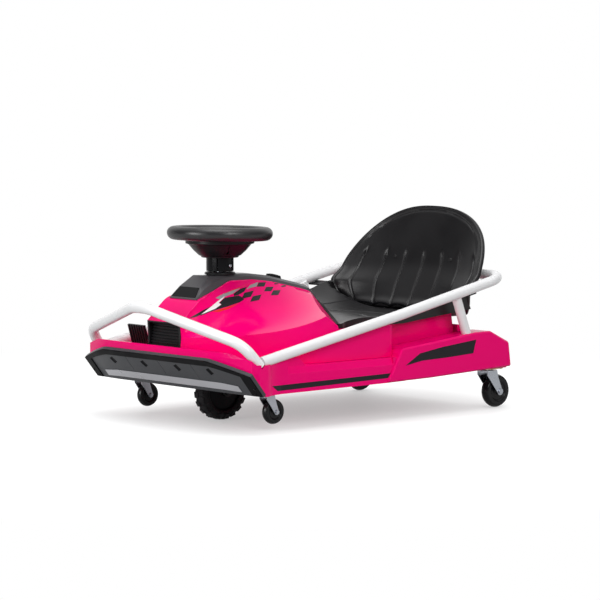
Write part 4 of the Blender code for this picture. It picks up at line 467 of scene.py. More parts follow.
for node, name, width, finish, slot, *angles in (
        ("chassis_frame", "ladder_frame", 0.0008, painted_steel, "black_frame_paint", 40.0, 50.0),
        ("battery_tray", "tray_folded", 0.0006, zinc, "zinc_plated_steel"),
        ("battery_front", "battery_case_front", 0.0012, battery_case, "battery_case"),
        ("battery_rear", "battery_case_rear", 0.0012, battery_case, "battery_case"),
        ("speed_controller", "controller_case", 0.0006, cast_alloy, "cast_aluminium"),
        ("steering_head", "head_weldment", 0.0008, painted_steel, "black_frame_paint", 40.0, 50.0),
        ("head_bearing_upper", "bearing_ring_upper", 0.0005, zinc, "zinc_plated_steel"),
        ("head_bearing_lower", "bearing_ring_lower", 0.0005, zinc, "zinc_plated_steel")):
    dressed(node, name, width, finish, "kart", slot, *angles)

# Casters: each has a pressed zinc-plated plate and fork with a ball race between them, a bolt for
# an axle and a glossy black wheel. Four screws hold each plate up against its flat pad on the tub.
# The two in front are small, and their wheels hang a little above the floor.
caster_rubber = finish_material("caster_tread", (0.007, 0.007, 0.008), 0.22, grain=1200.0, strength=0.10,
                                mottle=0.15, spread=0.06)
yellow_zinc = finish_material("yellow_zinc_plate", (0.62, 0.46, 0.26), 0.34, 1.0, grain=500.0, bump=0.0002,
                              strength=0.22, mottle=0.22, spread=0.12)
SCREW_SIDES, SCREW_RADIUS, SCREW_RISE, SCREW_SPREAD, SCREW_SINK = 12, 0.0030, 0.0018, 0.56, 0.0025
WHEEL_HALF, WHEEL_BORE, WHEEL_SLACK = 0.36, 0.085, 0.0003
WHEEL_SIDE = ((0.20, 1.0), (0.24, 0.62), (0.56, 0.52), (0.62, 0.80), (0.90, 0.80))


def closed_mesh(shape, mesh):
    """Finish a bmesh as a closed mesh: doubles merged, all faces pointing outwards."""
    bmesh.ops.remove_doubles(shape, verts=shape.verts, dist=1e-6)
    bmesh.ops.recalc_face_normals(shape, faces=shape.faces)
    if shape.calc_volume(signed=True) < 0:
        bmesh.ops.reverse_faces(shape, faces=shape.faces)
    return to_mesh(shape, mesh)


def turned(profile, sides, centre, axis="Z"):
    """A closed outline of (radius, height) turned about an axis through a centre."""
    shape = bmesh.new()
    rows = []
    for s in range(sides):
        angle = 2 * math.pi * s / sides
        row = []
        for radius, height in profile:
            a, b = radius * math.cos(angle), radius * math.sin(angle)
            spot = Vector((a, b, height) if axis == "Z" else (height, a, b))
            row.append(shape.verts.new(spot + Vector(centre)))
        rows.append(row)
    for row, after in zip(rows, rows[1:] + rows[:1]):
        for i, j in zip(range(len(profile)), [*range(1, len(profile)), 0]):
            if profile[i][0] > 0 or profile[j][0] > 0:
                shape.faces.new((row[i], row[j], after[j], after[i]))
    return closed_mesh(shape, bpy.data.meshes.new("turned"))


def softened_profile(points, radius, steps=4):
    """An outline with each inner corner replaced by a short arc."""
    result = [points[0]]
    for before, here, after in zip(points, points[1:], points[2:]):
        here, before, after = Vector(here), Vector(before), Vector(after)
        reach = min(radius, 0.45 * (before - here).length, 0.45 * (after - here).length)
        start = here + (before - here).normalized() * reach
        end = here + (after - here).normalized() * reach
        for k in range(steps + 1):
            t = k / steps
            spot = start * (1 - t) ** 2 + here * 2 * t * (1 - t) + end * t ** 2
            result.append((spot.x, spot.y))
    return result + [points[-1]]


def geometry_tree(name, inputs):
    """An empty tree with named inputs; returns it, its ends' sockets and its inputs' identifiers."""
    tree = bpy.data.node_groups.new(name, "GeometryNodeTree")
    tree.interface.new_socket("Geometry", in_out="INPUT", socket_type="NodeSocketGeometry")
    identifiers = [tree.interface.new_socket(label, in_out="INPUT", socket_type=kind).identifier
                   for label, kind in inputs]
    tree.interface.new_socket("Geometry", in_out="OUTPUT", socket_type="NodeSocketGeometry")
    ends = tree.nodes.new("NodeGroupInput").outputs, tree.nodes.new("NodeGroupOutput").inputs
    return tree, *ends, identifiers


def end_tree(tree, made, finish, end):
    """Close a tree: what it made becomes one real mesh with its finish on."""
    whole = add_node(tree, "GeometryNodeRealizeInstances", made).outputs["Geometry"]
    paint = add_node(tree, "GeometryNodeSetMaterial", Geometry=whole, Material=finish)
    feed(tree, end["Geometry"], paint.outputs["Geometry"])


repeat_tree, start, end, repeat_inputs = geometry_tree(
    "shape_on_points", (("Shape", "NodeSocketObject"), ("Size", "NodeSocketFloat"),
                        ("Finish", "NodeSocketMaterial")))
pattern_shape = add_node(repeat_tree, "GeometryNodeObjectInfo", Object=start["Shape"]).outputs["Geometry"]
facing = add_node(repeat_tree, "GeometryNodeInputNamedAttribute", data_type="FLOAT_VECTOR", Name="facing")
turned_to = add_node(repeat_tree, "FunctionNodeAlignRotationToVector", axis="Z",
                     Vector=facing.outputs["Attribute"]).outputs["Rotation"]
spread_out = add_node(repeat_tree, "GeometryNodeInstanceOnPoints", Points=start["Geometry"],
                      Instance=pattern_shape, Rotation=turned_to, Scale=start["Size"])
end_tree(repeat_tree, spread_out.outputs["Instances"], start["Finish"], end)


def set_on_points(name, spots, shape_mesh, material, body):
    """Repeat a small shape at spots, each a place and the way it faces."""
    pattern = placed("pattern", shape_mesh)
    points = bpy.data.meshes.new("points")
    points.from_pydata([tuple(place) for place, _ in spots], [], [])
    attribute = points.attributes.new("facing", "FLOAT_VECTOR", "POINT")
    attribute.data.foreach_set("vector", [c for _, way in spots for c in way])
    mesh = modified(points, "NODES", node_group=repeat_tree,
                    **dict(zip(repeat_inputs, (pattern, 1.0, material))))
    bpy.data.objects.remove(pattern, do_unlink=True)
    add_piece(name, mesh, material, body, crease=40.0, weighted=False)


def screw_head(radius, height):
    """A domed head with a six-sided socket sunk in it, standing on z = 0."""
    shape = bmesh.new()
    rows = []
    for r, z, socket in ((1.0, 0, False), (1.0, 0.45, False), (0.8, 0.85, False), (0.5, 1.0, True),
                         (0.48, 0.45, True)):
        row = []
        for s in range(SCREW_SIDES):
            angle = 2 * math.pi * s / SCREW_SIDES
            bite = radius * r * (0.87 if socket and s % 2 else 1.0)
            row.append(shape.verts.new((bite * math.cos(angle), bite * math.sin(angle), height * z)))
        rows.append(row)
    for low, high in zip(rows, rows[1:]):
        for s in range(SCREW_SIDES):
            after = (s + 1) % SCREW_SIDES
            shape.faces.new((low[s], low[after], high[after], high[s]))
    shape.faces.new(rows[-1])
    shape.faces.new(list(reversed(rows[0])))
    return to_mesh(shape, bpy.data.meshes.new("screw_head"))


screw_spots = []
for end, radius, plate_zinc in (("front", 0.0318, zinc), ("rear", 0.0445, yellow_zinc)):
    for side in ("left", "right"):
        key = f"{end}_{side}"
        plate_low, plate_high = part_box(f"{key}_caster_plate")
        wheel_low, wheel_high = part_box(f"{key}_caster_wheel")
        hub = (wheel_low + wheel_high) / 2
        dressed(f"{key}_caster_plate", f"{key}_plate", 0.0006, plate_zinc, "kart", "zinc_plated_steel")
        dressed(f"{key}_caster_fork", f"{key}_fork", 0.0007, zinc, f"{key}_swivel", "zinc_plated_steel")
        dressed(f"{key}_caster_bolt", f"{key}_axle", 0.0004, zinc, f"{key}_swivel", "zinc_plated_steel")
        half = radius * WHEEL_HALF
        edge = radius - 0.0002
        side_line = [(radius * WHEEL_BORE + WHEEL_SLACK, half)]
        side_line += [(radius * out, half * wide) for out, wide in WHEEL_SIDE] + [(edge, half * 0.18)]
        tread = [(out, -wide) for out, wide in side_line] + side_line[::-1]
        wheel = turned(softened_profile(tread, radius * 0.07), 56, hub, "X")
        wheel.transform(Matrix.Translation(Vector((0, 0, -min(0.0, hub.z - edge)))))
        add_piece(f"{key}_wheel", wheel, caster_rubber, f"{key}_wheel",
                  [f"{key}_caster_wheel"], crease=40.0)
        middle = (plate_low + plate_high) / 2
        for x in (-1, 1):
            for y in (-1, 1):
                out = radius * SCREW_SPREAD
                spot = Vector((middle.x + x * out, middle.y + y * out, plate_high.z - SCREW_SINK))
                screw_spots.append((spot, (0, 0, -1)))
set_on_points("caster_screws", screw_spots, screw_head(SCREW_RADIUS, SCREW_RISE), zinc, "kart")

# Cowl: the upper shell of the same glossy pink plastic, moulded in one with the seat deck. A flat
# spine runs back from the nose, hollow flanks fall to a crease at the shoulder, and its swept rear
# edge carries a soft black gasket. It is screwed down on the tub from below.
NOSE_Y, NOSE_Z, NOSE_HALF = -0.1840, 0.2620, 0.0670
HOOD_Y = -0.1223
SPINE_HALF, SPINE_Z = 0.0360, 0.3590
TAIL_Y, TAIL_Z = 0.2760, 0.3190
RIM_Y, RIM_Z = 0.3030, 0.2915
RIM_SIDE_Y, RIM_SIDE_Z = 0.1505, 0.2517
SHOULDER_X, SHOULDER_Y = 0.2850, 0.1120
SHOULDER_Z, SHOULDER_RISE = 0.2285, 0.0515
DECK_Z, SEAM_Z = 0.2425, 0.1613
WAIST_X, WAIST_Y, WAIST_CORNER = 0.2380, 0.3340, 0.0180
RIDGE_Y, RIDGE_RISE = 0.3900, 0.0220
SHELL_REAR_Y, SHELL_LEAN, SHELL_WALL = 0.6110, 0.0130, 0.0040
POCKET_HALF, POCKET_LOW_Z, POCKET_TOP_Z, COLUMN_HOLE = 0.0603, 0.1977, 0.2583, 0.018
BEAD_RADIUS, GASKET_RADIUS = 0.0015, 0.0036
FLANK = (0.0, 0.09, 0.20, 0.33, 0.47, 0.61, 0.75, 0.88, 1.0)
COWL_RINGS = 46


def blend(a, b, t):
    return a + (b - a) * t


def along(value, knots):
    """Read a value off straight runs between (place, value) knots."""
    for (a, va), (b, vb) in zip(knots, knots[1:]):
        if value <= b:
            return blend(va, vb, max(0.0, (value - a) / (b - a)))
    return knots[-1][1]


def eased(value, knots, reach=0.009):
    """The same, with each knot rounded off over a short reach."""
    return sum(along(value + reach * k / 3, knots) for k in range(-3, 4)) / 7


SPINE_WIDTHS = [(NOSE_Y, NOSE_HALF), (HOOD_Y, NOSE_HALF), (0.0, SPINE_HALF), (RIM_Y, SPINE_HALF)]
SPINE_HEIGHTS = [(NOSE_Y, NOSE_Z), (HOOD_Y, blend(NOSE_Z, SPINE_Z, 0.56)), (0.0, SPINE_Z), (0.075, SPINE_Z),
                 (0.140, blend(TAIL_Z, SPINE_Z, 0.80)), (0.240, blend(TAIL_Z, SPINE_Z, 0.24)),
                 (TAIL_Y, TAIL_Z), (RIM_Y, RIM_Z)]


def rim_at(x):
    """Place and height of the cowl's rear edge."""
    out = max(0.0, abs(x) - SPINE_HALF) / (SHOULDER_X - SPINE_HALF)
    return blend(RIM_Y, RIM_SIDE_Y, out), blend(RIM_Z, RIM_SIDE_Z, out)


def ridge_z(y):
    return DECK_Z + RIDGE_RISE * max(0.0, (y - RIDGE_Y) / (SHELL_REAR_Y - RIDGE_Y))


def shoulder(part):
    return (blend(NOSE_HALF, SHOULDER_X, math.sin(math.pi / 2 * part)),
            blend(NOSE_Y + 0.004, SHOULDER_Y, part), SHOULDER_Z + SHOULDER_RISE * part ** 2)


def cowl_line(part, inset, low):
    """Half a cross line of the cowl: centre, spine edge, hollow flank, crease and foot."""
    y_spine = blend(NOSE_Y, TAIL_Y, part)
    x_edge = eased(y_spine, SPINE_WIDTHS) if part > 0 else NOSE_HALF
    z_edge = (eased if 0.03 < part < 0.97 else along)(y_spine, SPINE_HEIGHTS)
    x_out, y_out, z_out = shoulder(part)
    half = [Vector((0, y_spine, z_edge - inset))]
    for s in FLANK:
        half.append(Vector((blend(x_edge, x_out, s) - inset, blend(y_spine, y_out, s),
                            blend(z_out, z_edge, (1.0 - s) ** 1.8) - inset)))
    half[-1].z -= 0.002
    half.append(Vector((x_out - inset, y_out - (0.006 if part < 0.001 else 0.0), low)))
    return half


def deck_line(y, x_out, inset, low, lean=0.0):
    """Half a cross line of the deck: flat from the centre to the ridge along its side."""
    z = DECK_Z - inset
    half = [Vector((0, y - lean, z))]
    for s in (0.0, 0.2, 0.4, 0.55, 0.7, 0.8, 0.9, 0.95):
        half.append(Vector((blend(SPINE_HALF, x_out, s) - inset, y - lean, z)))
    y_top = y - lean * (ridge_z(y - lean) - low) / (DECK_Z - low)
    half.append(Vector((x_out - inset, y_top, ridge_z(y_top) - inset)))
    half.append(Vector((x_out - inset, y, low)))
    return half


def rim_line(inset, low, back, on_deck):
    """Half the line of the cowl's swept rear edge, or of the deck right behind it."""
    half = [Vector((0, RIM_Y, RIM_Z))]
    for s in FLANK:
        x = blend(SPINE_HALF, SHOULDER_X, s)
        y, z = rim_at(x)
        half.append(Vector((x - inset, y, z)))
    for point in half:
        point.y += back - inset
        point.z = (DECK_Z if on_deck else point.z) - inset
    half.append(Vector((half[-1].x, half[-1].y, low)))
    return half


def both_sides(half):
    """A closed ring: the half line, a point under its middle and the mirrored half."""
    return half + [Vector((0, half[-1].y, half[-1].z))] + mirrored(reversed(half[1:]))


def skin_over(rings):
    """A closed skin over rings of equal count, moved to the frame's place."""
    shape = bmesh.new()
    rows = [[shape.verts.new(Vector(p) + FROM_AXIS) for p in ring] for ring in rings]
    for low, high in zip(rows, rows[1:]):
        for i in range(len(low)):
            after = (i + 1) % len(low)
            shape.faces.new((low[i], low[after], high[after], high[i]))
    for ring in (rows[0], rows[-1]):
        shape.faces.new(ring)
    return closed_mesh(shape, bpy.data.meshes.new("skin"))


def cut_by(mesh, tools, operation="DIFFERENCE"):
    """Cut or join closed shapes one after another."""
    for other in tools:
        tool = placed("tool", other)
        mesh = modified(mesh, "BOOLEAN", operation=operation, solver="EXACT", object=tool)
        bpy.data.objects.remove(tool, do_unlink=True)
    return mesh


def box_between(low, high):
    """A plain block between two corners given from the steering axis."""
    a, b = Vector(low), Vector(high)
    ring = [(a.x, a.y), (b.x, a.y), (b.x, b.y), (a.x, b.y)]
    return skin_over([[(x, y, a.z) for x, y in ring], [(x, y, b.z) for x, y in ring]])


def waist_corner(step):
    """A point of the arc by which the deck narrows behind the shoulders, in six steps."""
    turn = math.pi / 2 * step / 6
    return (blend(SHOULDER_X - WAIST_CORNER, SHOULDER_X, math.cos(turn)),
            WAIST_Y + WAIST_CORNER * (math.sin(turn) - 0.2))


def cowl_skin(inset, low, first=0):
    """The whole shell's skin from nose to tail, set in by the wall where it is the inner one."""
    rings = [cowl_line(k / COWL_RINGS, inset, low) for k in range(first, COWL_RINGS + 1)]
    rings.append(rim_line(inset, low, 0.0, False))
    rings.append(rim_line(inset, low, 0.003, True))
    rings.append(deck_line(WAIST_Y - inset - WAIST_CORNER * 0.3, SHOULDER_X, inset, low))
    for step in range(7):
        x, y = waist_corner(step)
        rings.append(deck_line(y - inset, x, inset, low))
    rings.append(deck_line(WAIST_Y - inset + WAIST_CORNER * 0.8 + 0.0004, WAIST_X, inset, low))
    for k in range(4):
        rings.append(deck_line(blend(RIDGE_Y, SHELL_REAR_Y - 0.06, k / 3), WAIST_X, inset, low))
    rings.append(deck_line(SHELL_REAR_Y - inset, WAIST_X, inset, low, SHELL_LEAN))
    return skin_over([both_sides(ring) for ring in rings])


grille_pocket = skin_over([[(x, NOSE_Y - 0.03, POCKET_LOW_Z), (x, NOSE_Y - 0.03, POCKET_TOP_Z),
                            (x, NOSE_Y + 0.023, POCKET_TOP_Z), (x, NOSE_Y + 0.016, POCKET_LOW_Z)]
                           for x in (-POCKET_HALF, POCKET_HALF)])
column_hole = turned([(0, 0.30), (COLUMN_HOLE, 0.30), (COLUMN_HOLE, 0.42), (0, 0.42)], 40, FROM_AXIS)
cowl_core = cowl_skin(SHELL_WALL, SEAM_Z - 0.05, 6)
cowl_mesh = cut_by(cowl_skin(0.0, SEAM_Z), [cowl_core, grille_pocket, column_hole])
cowl_mesh = rounded(cowl_mesh, 0.0020, angle=30.0, short=0.0016)
cowl_shape = loaded(cowl_mesh)
bmesh.ops.triangulate(cowl_shape, faces=cowl_shape.faces)
cowl = add_piece("cowl_shell", to_mesh(cowl_shape, cowl_mesh), pink_plastic, "kart",
                 ["upper_shell"])


bar_tree, start, end, bar_inputs = geometry_tree(
    "bar_along_path", (("Radius", "NodeSocketFloat"), ("Sides", "NodeSocketInt"),
                       ("Finish", "NodeSocketMaterial")))
bar_line = add_node(bar_tree, "GeometryNodeMeshToCurve", Mesh=start["Geometry"]).outputs["Curve"]
bar_round = add_node(bar_tree, "GeometryNodeCurvePrimitiveCircle", Radius=start["Radius"],
                     Resolution=start["Sides"]).outputs["Curve"]
bar_sweep = add_node(bar_tree, "GeometryNodeCurveToMesh", bar_line, bar_round)
bar_sweep.inputs["Fill Caps"].default_value = True
end_tree(bar_tree, bar_sweep.outputs["Mesh"], start["Finish"], end)


def bar_mesh(path, radius, sides, material):
    """A round bar along points given from the steering axis."""
    line = bpy.data.meshes.new("path")
    line.from_pydata([(p[0], p[1] + axis_y, p[2]) for p in path],
                     [(k, k + 1) for k in range(len(path) - 1)], [])
    mesh = modified(line, "NODES", node_group=bar_tree, **dict(zip(bar_inputs, (radius, sides, material))))
    return closed_mesh(loaded(mesh), mesh)


def bar_piece(name, mesh, material, nodes=()):
    """A bar that is part of the kart's body, smooth all round."""
    add_piece(name, mesh, material, "kart", nodes, crease=60.0, weighted=False)


for side, key in ((1, "left"), (-1, "right")):
    bead_line = []
    for k in range(3, 93):
        y = blend(NOSE_Y, TAIL_Y, k / 92)
        bead_line.append((side * (eased(y, SPINE_WIDTHS) + 0.0004), y, eased(y, SPINE_HEIGHTS) - 0.0008))
    bead = bar_mesh(bead_line, BEAD_RADIUS, 10, pink_plastic)
    # Painted highlight: every face of the bead is flagged as an edge, so the lighter pink edge tint lines
    # the spine.
    mark_edges(bead, 1.0)
    bar_piece(f"spine_bead_{key}", bead, pink_plastic)

soft_black = finish_material("soft_black_rubber", (0.004, 0.004, 0.005), 0.46, grain=900.0, strength=0.25,
                             mottle=0.12, shine=0.045)
gasket_line = []
for k in range(61):
    x = blend(-SHOULDER_X + 0.0015, SHOULDER_X - 0.0015, k / 60)
    y, z = rim_at(x)
    gasket_line.append((x, y - 0.0006, z + 0.0014))
bar_piece("rim_gasket", bar_mesh(gasket_line, GASKET_RADIUS, 12, soft_black), soft_black)

# Graphics: cut vinyl laid on both flanks of the cowl. A black dart opens backwards into grey and
# black bands with a white flash and thin red lines, and ends in rows of small black chequers.
vinyl_grey = finish_material("vinyl_grey", (0.30, 0.30, 0.31), 0.34, grain=1800.0, strength=0.08,
                             mottle=0.10)
vinyl_white = finish_material("vinyl_white", (0.84, 0.84, 0.85), 0.32, grain=1800.0, strength=0.06,
                              mottle=0.03)
vinyl_red = finish_material("vinyl_red", (0.75, 0.020, 0.012), 0.32, grain=1800.0, strength=0.06,
                            mottle=0.06)
cowl_surface = surface_of(cowl)
dart = [[(189.0, 318.4), (203.0, 310.2), (211.2, 306.2), (201.0, 314.6), (196.0, 316.8)]]
flash = [[(201.0, 314.6), (211.5, 306.4), (214.4, 303.8), (216.4, 302.4), (223.4, 296.6), (224.6, 297.0),
          (218.6, 303.0), (221.2, 304.4), (215.2, 308.8)]]
bands = [[(221.5, 304.5), (219.2, 302.8), (224.6, 297.8), (233.8, 296.4), (238.8, 295.4), (241.6, 297.2),
          (244.2, 299.4), (240.0, 302.2), (228.0, 306.4), (213.0, 310.8), (200.0, 316.0), (201.0, 314.6),
          (215.2, 308.8)],
         [(233.6, 293.8), (240.4, 288.8), (246.8, 286.8), (244.2, 291.6), (238.4, 295.0), (234.0, 296.0)]]
greys = [[(215.6, 298.0), (223.5, 293.6), (234.0, 290.0), (240.2, 288.2), (233.4, 293.4), (226.0, 296.4),
          (219.4, 299.2)],
         [(246.4, 289.4), (250.0, 285.2), (258.2, 282.0), (256.4, 286.4), (250.0, 288.0)]]
reds = [[(212.0, 311.8), (228.0, 307.0), (240.5, 302.6), (228.6, 308.8), (219.0, 312.0)],
        [(217.0, 296.6), (234.0, 289.2), (249.0, 283.6), (234.0, 290.0)]]
CELL_LEAN = 0.48
chequers = []
for u, v, wide, high, rise in ((261.4, 284.5, 7.6, 4.2, 0.04), (268.7, 289.1, 7.5, 4.4, 0.02),
                               (275.7, 292.7, 7.6, 4.9, 0.06), (247.6, 294.8, 9.4, 6.2, 0.24),
                               (255.9, 298.2, 8.8, 5.6, 0.20), (276.6, 283.6, 4.4, 1.4, 0.10),
                               (283.6, 286.0, 4.6, 1.6, 0.12)):
    chequers.append([(u + across_by * wide / 2 + up_by * CELL_LEAN * high / 2,
                      v - up_by * high / 2 - across_by * rise * wide / 2)
                     for across_by, up_by in ((-1, 1), (1, 1), (1, -1), (-1, -1))])
for side, key in ((1, "left"), (-1, "right")):
    for kind, outlines, finish in (("dart", dart, vinyl_black), ("flash", flash, vinyl_white),
                                   ("bands", bands, vinyl_black), ("greys", greys, vinyl_grey),
                                   ("reds", reds, vinyl_red), ("chequers", chequers, vinyl_black)):
        sticker(f"cowl_{kind}_{key}", outlines, cowl_surface, finish, side)

# Cap, switch, grille and charging inlet: black and dark grey plastic mouldings clipped on the cowl.
# The cap's sloping front is a glossy visor, and the power switch sits on its narrow spine. A black
# frame round the nose's opening holds the louvres.
cap_plastic = finish_material("dark_satin_plastic", (0.066, 0.063, 0.069), 0.34, grain=1000.0, shine=0.35,
                              strength=0.30, scuff_and_highlight_colour=(0.09, 0.09, 0.095), scuff_and_highlight_amount=0.5, mottle=0.12)
visor_black = finish_material("visor_black", (0.004, 0.004, 0.005), 0.12, grain=1500.0, strength=0.04,
                              mottle=0.10, spread=0.04, shine=0.16)
black_plastic = finish_material("black_satin_plastic", (0.008, 0.008, 0.009), 0.36, grain=1000.0,
                                strength=0.25, scuff_and_highlight_colour=(0.05, 0.05, 0.052), mottle=0.12)
dressed("cowl_cap", "cap_visor_body", 0.0016, cap_plastic, "kart", "black_satin_plastic", 20.0, 40.0)


def slab(ring, normal, low, high):
    """A flat solid over a ring of points, between two distances along its normal."""
    return skin_over([[p + normal * reach for p in ring] for reach in (low, high)])


visor_front, visor_rear = along(HOOD_Y, SPINE_HEIGHTS), along(HOOD_Y + 0.0253, SPINE_HEIGHTS)
visor_side = [Vector((0.0485, HOOD_Y + 0.0018, visor_front + 0.0054)),
              Vector((0.0395, HOOD_Y + 0.0222, visor_rear + 0.0206))]
visor_normal = Vector((0, -0.62, 0.78)).normalized()
visor_ring = [visor_side[0], *mirrored(visor_side), visor_side[1]]
visor = slab(visor_ring, visor_normal, -0.0012, 0.0007)
add_piece("visor_panel", rounded(visor, 0.0004, 2), visor_black, "kart")
dressed("nose_grille", "grille_louvres", 0.0006, black_plastic, "kart", "black_satin_plastic")
FRAME_HALF, FRAME_LOW_Z, FRAME_TOP_Z, FRAME_BACK_Y = 0.0663, 0.1975, 0.2622, -0.1660
OPENING_LOW, OPENING_HIGH = (-0.0601, -0.2, 0.19), (0.0601, -0.1, 0.2583)
frame_outline = [(-0.1841, FRAME_LOW_Z), (-0.1831, 0.2100), (-0.1826, 0.2220), (-0.1831, 0.2360),
                 (-0.1842, 0.2500), (-0.1848, FRAME_TOP_Z), (FRAME_BACK_Y, FRAME_TOP_Z),
                 (FRAME_BACK_Y, FRAME_LOW_Z)]
grille_frame = skin_over([[(x, y, z) for y, z in frame_outline] for x in (-FRAME_HALF, FRAME_HALF)])
grille_frame = cut_by(grille_frame, [box_between(OPENING_LOW, OPENING_HIGH)])
add_piece("grille_frame", rounded(grille_frame, 0.0005, 2, 30.0, 0.0009), black_plastic, "kart")
dressed("charge_socket", "charge_inlet", 0.0005, black_plastic, "kart", "black_satin_plastic")
dressed("switch_bezel", "switch_frame", 0.0009, black_plastic, "kart", "black_satin_plastic")
dressed("power_button", "power_button_cap", 0.0008, soft_black, "button", "black_rubber")
dressed("column_flange", "column_foot", 0.0010, black_plastic, "kart", "black_satin_plastic")

# Bumper: a grey plate moulded with four slanted slots, with a thick black rubber border along its
# top and ends and a silver strip let in along the bottom. Near-black fills sunk a little way into
# the slots paint the shade inside them. Screws hold it to the tub's front.
TOP_Y, TOP_Z, LOW_Y, LOW_Z = -0.2187, 0.1810, -0.1480, 0.0960
STRAIGHT, BUMPER_HALF = 0.2080, 0.3370
SWEEP_Y, DROP_Z = 0.0373, 0.0321
STRIP_HALF, BORDER_END, PLATE_DEPTH = 0.2720, BUMPER_HALF - 0.0258 - 0.0107, 0.009
SLOT_PLACES = (-0.197, -0.068, 0.068, 0.197)
LINE_PLACES, LINE_HALF, LINE_DEPTH = (-0.133, 0.0, 0.133), 0.0006, 0.0008
SLOT_LEAN, SLOT_HALF, SLOT_DEPTH = 0.0042, 0.0086, 0.0070
bumper_grey = finish_material("dark_grey_plastic", (0.050, 0.052, 0.058), 0.42, grain=900.0, strength=0.30,
                              scuff_and_highlight_colour=(0.14, 0.14, 0.145), mottle=0.10)
silver = finish_material("silver_strip", (0.52, 0.52, 0.55), 0.34, 0.35, grain=500.0, wave=120.0,
                         strength=0.40, scuff_and_highlight_colour=(0.55, 0.55, 0.57), mottle=0.16)


def bumper_face(u, t, depth):
    """The plate's ruled face: u across, t from its top (0) to its bottom (1)."""
    side = 1 if u >= 0 else -1
    out = max(0.0, abs(u) - STRAIGHT) / (BUMPER_HALF - STRAIGHT)
    top = Vector((u, TOP_Y + SWEEP_Y * out ** 1.3, TOP_Z - DROP_Z * out ** 1.2))
    low = Vector((side * min(abs(u), BUMPER_HALF), LOW_Y + 0.010 * out ** 2, LOW_Z))
    normal = Vector((0, TOP_Z - LOW_Z, LOW_Y - TOP_Y)).normalized()
    return top.lerp(low, t) + normal * depth


def net_solid(surface, us, ts, front, back, keep=lambda i, j: True):
    """A closed solid of even depth over the kept cells of a surface net."""
    shape = bmesh.new()
    nets = []
    for depth in (front, back):
        nets.append([[shape.verts.new(surface(u, t, depth) + FROM_AXIS) for t in ts]
                     for u in us])
    kept = {(i, j) for i in range(len(us) - 1) for j in range(len(ts) - 1) if keep(i, j)}
    for i, j in kept:
        ring = ((i, j), (i, j + 1), (i + 1, j + 1), (i + 1, j))
        shape.faces.new([nets[0][a][b] for a, b in ring])
        shape.faces.new([nets[1][a][b] for a, b in reversed(ring)])
        for (p, q), near in ((ring[0:2], (i - 1, j)), (ring[1:3], (i, j + 1)), (ring[2:4], (i + 1, j)),
                             ((ring[3], ring[0]), (i, j - 1))):
            if near not in kept:
                shape.faces.new((nets[0][q[0]][q[1]], nets[0][p[0]][p[1]], nets[1][p[0]][p[1]],
                                 nets[1][q[0]][q[1]]))
    bmesh.ops.delete(shape, geom=[v for v in shape.verts if not v.link_faces], context="VERTS")
    return closed_mesh(shape, bpy.data.meshes.new("net"))


def across(reach):
    """Places across the bumper, closer together along its swept ends."""
    half = [STRAIGHT * k / 14 for k in range(1, 15)]
    half += [blend(STRAIGHT, reach, k / 12) for k in range(1, 13)]
    return [-u for u in reversed(half)] + [0.0] + half


plate = net_solid(bumper_face, across(BUMPER_HALF), [0.0, 0.25, 0.5, 0.75, 1.0], 0.0, PLATE_DEPTH)
plate_normal = (bumper_face(0, 0, 1) - bumper_face(0, 0, 0)).normalized()
tools, slot_shade_fills = [], []
for x in SLOT_PLACES:
    slot_top, slot_foot = bumper_face(x - SLOT_LEAN, 0.265, 0), bumper_face(x + SLOT_LEAN, 0.43, 0)
    wide = (slot_foot - slot_top).normalized().cross(plate_normal) * SLOT_HALF
    ring = [slot_top - wide, slot_foot - wide, slot_foot + wide, slot_top + wide]
    tools.append(slab(ring, plate_normal, -0.01, SLOT_DEPTH))
    # Painted shade: a near-black fill sits 1.4 mm into each slot, so that the slot reads dark.
    slot_shade_fills.append(slab(ring, plate_normal, 0.0014, SLOT_DEPTH))
for x in LINE_PLACES:
    line_top, line_foot = bumper_face(x, 0.17, 0), bumper_face(x, 0.645, 0)
    wide = Vector((LINE_HALF, 0, 0))
    ring = [line_top - wide, line_foot - wide, line_foot + wide, line_top + wide]
    tools.append(slab(ring, plate_normal, -0.01, LINE_DEPTH))
add_piece("bumper_plate", rounded(cut_by(plate, tools), 0.0008, 2, 30.0, 0.0009), bumper_grey, "kart",
          ["front_bumper"])
add_piece("bumper_plugs", cut_by(slot_shade_fills[0], slot_shade_fills[1:], "UNION"), soft_black, "kart")
columns = across(BUMPER_HALF)
border = net_solid(bumper_face, columns, [0.0, 0.08, 0.16, 0.5, 0.97], -0.0030, -0.0003,
                   lambda i, j: j < 2 or min(abs(columns[i]), abs(columns[i + 1])) > BORDER_END)
add_piece("bumper_edging", rounded(border, 0.0011, 3, 30.0, 0.0022), soft_black, "kart",
          ["bumper_border"])
strip = net_solid(bumper_face, across(STRIP_HALF), [0.67, 0.70, 0.775, 0.85, 0.88], -0.0016, -0.0003)
add_piece("silver_inlay", rounded(strip, 0.0005, 2, 30.0, 0.0009), silver, "kart",
          ["bumper_strip"])
bumper_spots = [(bumper_face(side * u, t, -0.0032) + FROM_AXIS, -plate_normal)
                for side in (-1, 1) for u, t in ((0.3270, 0.62), (0.318, 0.90))]
set_on_points("bumper_screws", bumper_spots, screw_head(SCREW_RADIUS, 0.0016), black_plastic, "kart")

